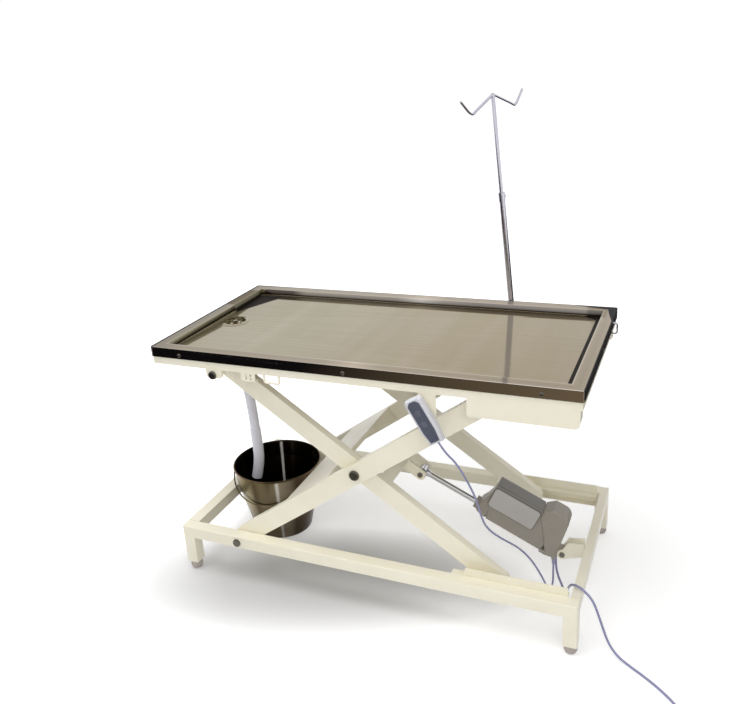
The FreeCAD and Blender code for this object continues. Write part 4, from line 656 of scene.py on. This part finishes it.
def drive_plate(name, outline, y_low, y_high, finish, bevel):
    """A plate with soft edges whose outline is given along and above the drive's axis, in metres."""
    count = len(outline)
    vertices = []
    for y in (y_low, y_high):
        for along, above in outline:
            vertices.append(REAR_PIN + DRIVE_AXIS * along + DRIVE_UP * above + Vector((0, y, 0)))
    faces = [tuple(range(count)), tuple(range(2 * count - 1, count - 1, -1))]
    for step in range(count):
        after = (step + 1) % count
        faces.append((step, count + step, count + after, after))
    plate = new_piece(name, vertices, faces, finish, "actuator", smooth=False)
    rounding = plate.modifiers.new("soft_edges", "BEVEL")
    rounding.width = bevel
    rounding.segments = 3
    rounding.harden_normals = True
    return plate


def rounded_outline(start, end, bottom, top, radius, steps=5):
    """A rectangle with round corners, from one corner round to the next."""
    centres = [(end - radius, top - radius, 0), (start + radius, top - radius, 90),
               (start + radius, bottom + radius, 180), (end - radius, bottom + radius, 270)]
    points = []
    for along, above, first in centres:
        for step in range(steps + 1):
            angle = math.radians(first + 90 * step / steps)
            points.append((along + radius * math.cos(angle), above + radius * math.sin(angle)))
    return points


def drive_details():
    """Nose, side panels with their seams, and the heel under the rear of the housing."""
    nose = [(0.250, 0.094), (0.266, 0.094), (0.271, 0.066), (0.278, 0.040), (0.288, 0.020),
            (0.288, -0.014), (0.276, -0.018), (0.250, -0.023)]
    drive_plate("drive_nose", nose, -NOSE_HALF_WIDTH, NOSE_HALF_WIDTH,
                "actuator_body", 0.006)
    for side, name in ((-1, "near"), (1, "far")):
        face = side * PANEL_FACE
        seam = rounded_outline(PANEL_START - SEAM_WIDTH, PANEL_END + SEAM_WIDTH,
                               PANEL_BOTTOM - SEAM_WIDTH, PANEL_TOP + SEAM_WIDTH,
                               PANEL_CORNER + SEAM_WIDTH)
        panel = rounded_outline(PANEL_START, PANEL_END, PANEL_BOTTOM, PANEL_TOP, PANEL_CORNER)
        drive_plate(f"panel_seam_{name}", seam, min(face, face + side * SEAM_RISE),
                    max(face, face + side * SEAM_RISE), "seam", 0.0002)
        drive_plate(f"side_panel_{name}", panel, min(face, face + side * PANEL_RISE),
                    max(face, face + side * PANEL_RISE), "actuator_panel", 0.0010)
    heel = [(0.066, -0.0120), (0.050, -0.0120), (0.036, -0.0140), (0.024, -0.0180), (0.046, -0.0236),
            (0.066, -0.0238)]
    drive_plate("housing_heel", heel, -HEEL_HALF_WIDTH, HEEL_HALF_WIDTH,
                "actuator_body", 0.002)


drive_details()


# Stage: pale floor, dark cards that only reflections see, soft lights and the sky

def stage_plane(name, centre, size, turn=(0, 0, 0)):
    """A flat rectangle that belongs to the stage."""
    half_x, half_y = size[0] / 2, size[1] / 2
    corners = [(-half_x, -half_y, 0), (half_x, -half_y, 0), (half_x, half_y, 0), (-half_x, half_y, 0)]
    mesh = bpy.data.meshes.new(name)
    mesh.from_pydata(corners, [], [(0, 1, 2, 3)])
    plane = bpy.data.objects.new(name, mesh)
    plane.location = centre
    plane.rotation_euler = turn
    bpy.context.scene.collection.objects.link(plane)
    return plane


def seen_rays(tree):
    """One for rays that show a background: from the camera, a mirror or glass."""
    path = tree.nodes.new("ShaderNodeLightPath")
    mirror = math_node(tree, "MAXIMUM", path.outputs["Is Camera Ray"], path.outputs["Is Glossy Ray"])
    return math_node(tree, "MAXIMUM", mirror, path.outputs["Is Transmission Ray"])


FLOOR_LIGHT_CENTRE = (0.2, 0.0, 0.0)
FLOOR_FADE = (0.75, 1.7)
FLOOR_GLOW = (0.42, 0.78)
SHADOW_CENTRE = (-0.24, -0.25, 0.0)
SHADOW_TURN = math.radians(18)
SHADOW_HALF_SIZE = (0.74, 0.30, 1.0)
SHADOW_DEPTH = 0.40
FLOOR_COLOUR = (0.80, 0.80, 0.805)
SHADOW_COLOUR = (0.62, 0.62, 0.625)


def shadow_share(tree, position):
    """One in the middle of the painted soft oval shadow under the table, zero outside it."""
    oval = tree.nodes.new("ShaderNodeMapping")
    oval.vector_type = "TEXTURE"
    oval.inputs["Location"].default_value = SHADOW_CENTRE
    oval.inputs["Rotation"].default_value = (0.0, 0.0, SHADOW_TURN)
    oval.inputs["Scale"].default_value = SHADOW_HALF_SIZE
    link(tree, position, oval.inputs["Vector"])
    apart = tree.nodes.new("ShaderNodeVectorMath")
    apart.operation = "LENGTH"
    link(tree, oval.outputs["Vector"], apart.inputs[0])
    inward = remap(tree, apart.outputs["Value"], (0.25, 1.0), (1.0, 0.0))
    return math_node(tree, "MULTIPLY", inward, math_node(tree, "SUBTRACT", 2.0, inward))


def white_floor():
    """A floor that looks white where it is lit, through a painted glow that camera rays and reflections see
    and that fades nearer the table; it keeps the table's shadow and adds a painted soft oval shadow under
    it.
    """
    floor = stage_plane("floor", (0, 0, 0), (60, 60))
    material = bpy.data.materials.new("floor_white")
    material.use_nodes = True
    tree = material.node_tree
    tree.nodes.clear()
    output = tree.nodes.new("ShaderNodeOutputMaterial")
    diffuse = tree.nodes.new("ShaderNodeBsdfDiffuse")
    glow = tree.nodes.new("ShaderNodeEmission")
    position = tree.nodes.new("ShaderNodeNewGeometry").outputs["Position"]
    shade = shadow_share(tree, position)
    link(tree, blend_colours(tree, shade, FLOOR_COLOUR, SHADOW_COLOUR), diffuse.inputs["Color"])
    apart = tree.nodes.new("ShaderNodeVectorMath")
    apart.operation = "DISTANCE"
    apart.inputs[1].default_value = FLOOR_LIGHT_CENTRE
    link(tree, position, apart.inputs[0])
    strength = remap(tree, apart.outputs["Value"], FLOOR_FADE, FLOOR_GLOW)
    strength = math_node(tree, "SUBTRACT", strength, math_node(tree, "MULTIPLY", shade, SHADOW_DEPTH))
    strength = math_node(tree, "MAXIMUM", strength, 0.0)
    lift = math_node(tree, "MULTIPLY", seen_rays(tree), strength)
    link(tree, lift, glow.inputs["Strength"])
    both = tree.nodes.new("ShaderNodeAddShader")
    link(tree, diffuse.outputs["BSDF"], both.inputs[0])
    link(tree, glow.outputs["Emission"], both.inputs[1])
    link(tree, both.outputs["Shader"], output.inputs["Surface"])
    floor.data.materials.append(material)


def dark_card(name, centre, size, near_colour, far_colour, from_x, to_x, turn=(0, 0, 0)):
    """A glowing card that only reflections see, painting a dark reflection that shades from one colour to
    another along the table.
    """
    card = stage_plane(name, centre, size, turn)
    material = bpy.data.materials.new(name)
    material.use_nodes = True
    tree = material.node_tree
    tree.nodes.clear()
    output = tree.nodes.new("ShaderNodeOutputMaterial")
    place = tree.nodes.new("ShaderNodeNewGeometry")
    along = remap(tree, axis_value(tree, place.outputs["Position"], "X"), (from_x, to_x), (0.0, 1.0))
    glow = tree.nodes.new("ShaderNodeEmission")
    link(tree, blend_colours(tree, along, near_colour, far_colour), glow.inputs["Color"])
    link(tree, glow.outputs["Emission"], output.inputs["Surface"])
    card.data.materials.append(material)
    card.visible_camera = False
    card.visible_diffuse = False
    card.visible_shadow = False
    card.visible_transmission = False


def soft_light(name, place, aim, size, power):
    """A wide lamp aimed at a point, which reflections don't show."""
    lamp = bpy.data.lights.new(name, "AREA")
    lamp.shape = "RECTANGLE"
    lamp.size, lamp.size_y = size
    lamp.energy = power
    holder = bpy.data.objects.new(name, lamp)
    holder.location = place
    holder.rotation_euler = (Vector(aim) - Vector(place)).to_track_quat("-Z", "Y").to_euler()
    holder.visible_glossy = False
    bpy.context.scene.collection.objects.link(holder)


def white_world(strength):
    """White behind the table and in its reflections, and a softer level of light from all round."""
    world = bpy.data.worlds.new("studio")
    bpy.context.scene.world = world
    world.use_nodes = True
    tree = world.node_tree
    background = tree.nodes["Background"]
    background.inputs["Color"].default_value = (1.0, 1.0, 1.0, 1.0)
    level = remap(tree, seen_rays(tree), (0.0, 1.0), (strength, 1.0))
    link(tree, level, background.inputs["Strength"])


white_floor()
dark_card("card_front", (-1.0, -4.2, 0.004), (12.0, 7.0), (0.008, 0.007, 0.009), (0.22, 0.175, 0.115),
          -1.1, 0.35)
dark_card("card_right", (4.2, 3.5, 0.004), (6.8, 8.0), (0.006, 0.004, 0.004), (0.01, 0.008, 0.008), 0.0, 4.0)
soft_light("key_light", (-0.6, -0.6, 3.4), (0.0, 0.0, 0.4), (2.6, 2.0), 62.0)
soft_light("front_fill", (1.5, -2.9, 2.5), (0.1, -0.1, 0.7), (2.0, 1.4), 27.0)
white_world(0.55)


# Camera at the photograph's place

# Fitted to the photograph: angles in radians, focal length and shift in its pixels, place in metres
AZIMUTH, ELEVATION, ROLL = -0.42917, 0.33913, -0.07190
FOCAL_LENGTH = 792.465
SHIFT_X, SHIFT_Y = 10.23, -27.66
CAMERA_PLACE = (0.90578, -2.12063, 1.63599)


def photo_camera():
    """The camera that stands where the photograph was taken."""
    forward = Vector((math.sin(AZIMUTH) * math.cos(ELEVATION),
                      math.cos(AZIMUTH) * math.cos(ELEVATION), -math.sin(ELEVATION)))
    level_right = forward.cross(Vector((0, 0, 1))).normalized()
    level_up = level_right.cross(forward)
    right = math.cos(ROLL) * level_right + math.sin(ROLL) * level_up
    up = -math.sin(ROLL) * level_right + math.cos(ROLL) * level_up
    data = bpy.data.cameras.new("photo_camera")
    data.sensor_width = 36.0
    data.lens = FOCAL_LENGTH / PICTURE_WIDTH * data.sensor_width
    data.shift_x = SHIFT_X / PICTURE_WIDTH
    data.shift_y = SHIFT_Y / PICTURE_WIDTH
    data.clip_start, data.clip_end = 0.05, 100.0
    camera = bpy.data.objects.new("photo_camera", data)
    turn = Matrix((right, up, -forward)).transposed().to_4x4()
    camera.matrix_world = Matrix.Translation(CAMERA_PLACE) @ turn
    bpy.context.scene.collection.objects.link(camera)
    bpy.context.scene.camera = camera


photo_camera()
bpy.context.scene.view_settings.view_transform = "Standard"
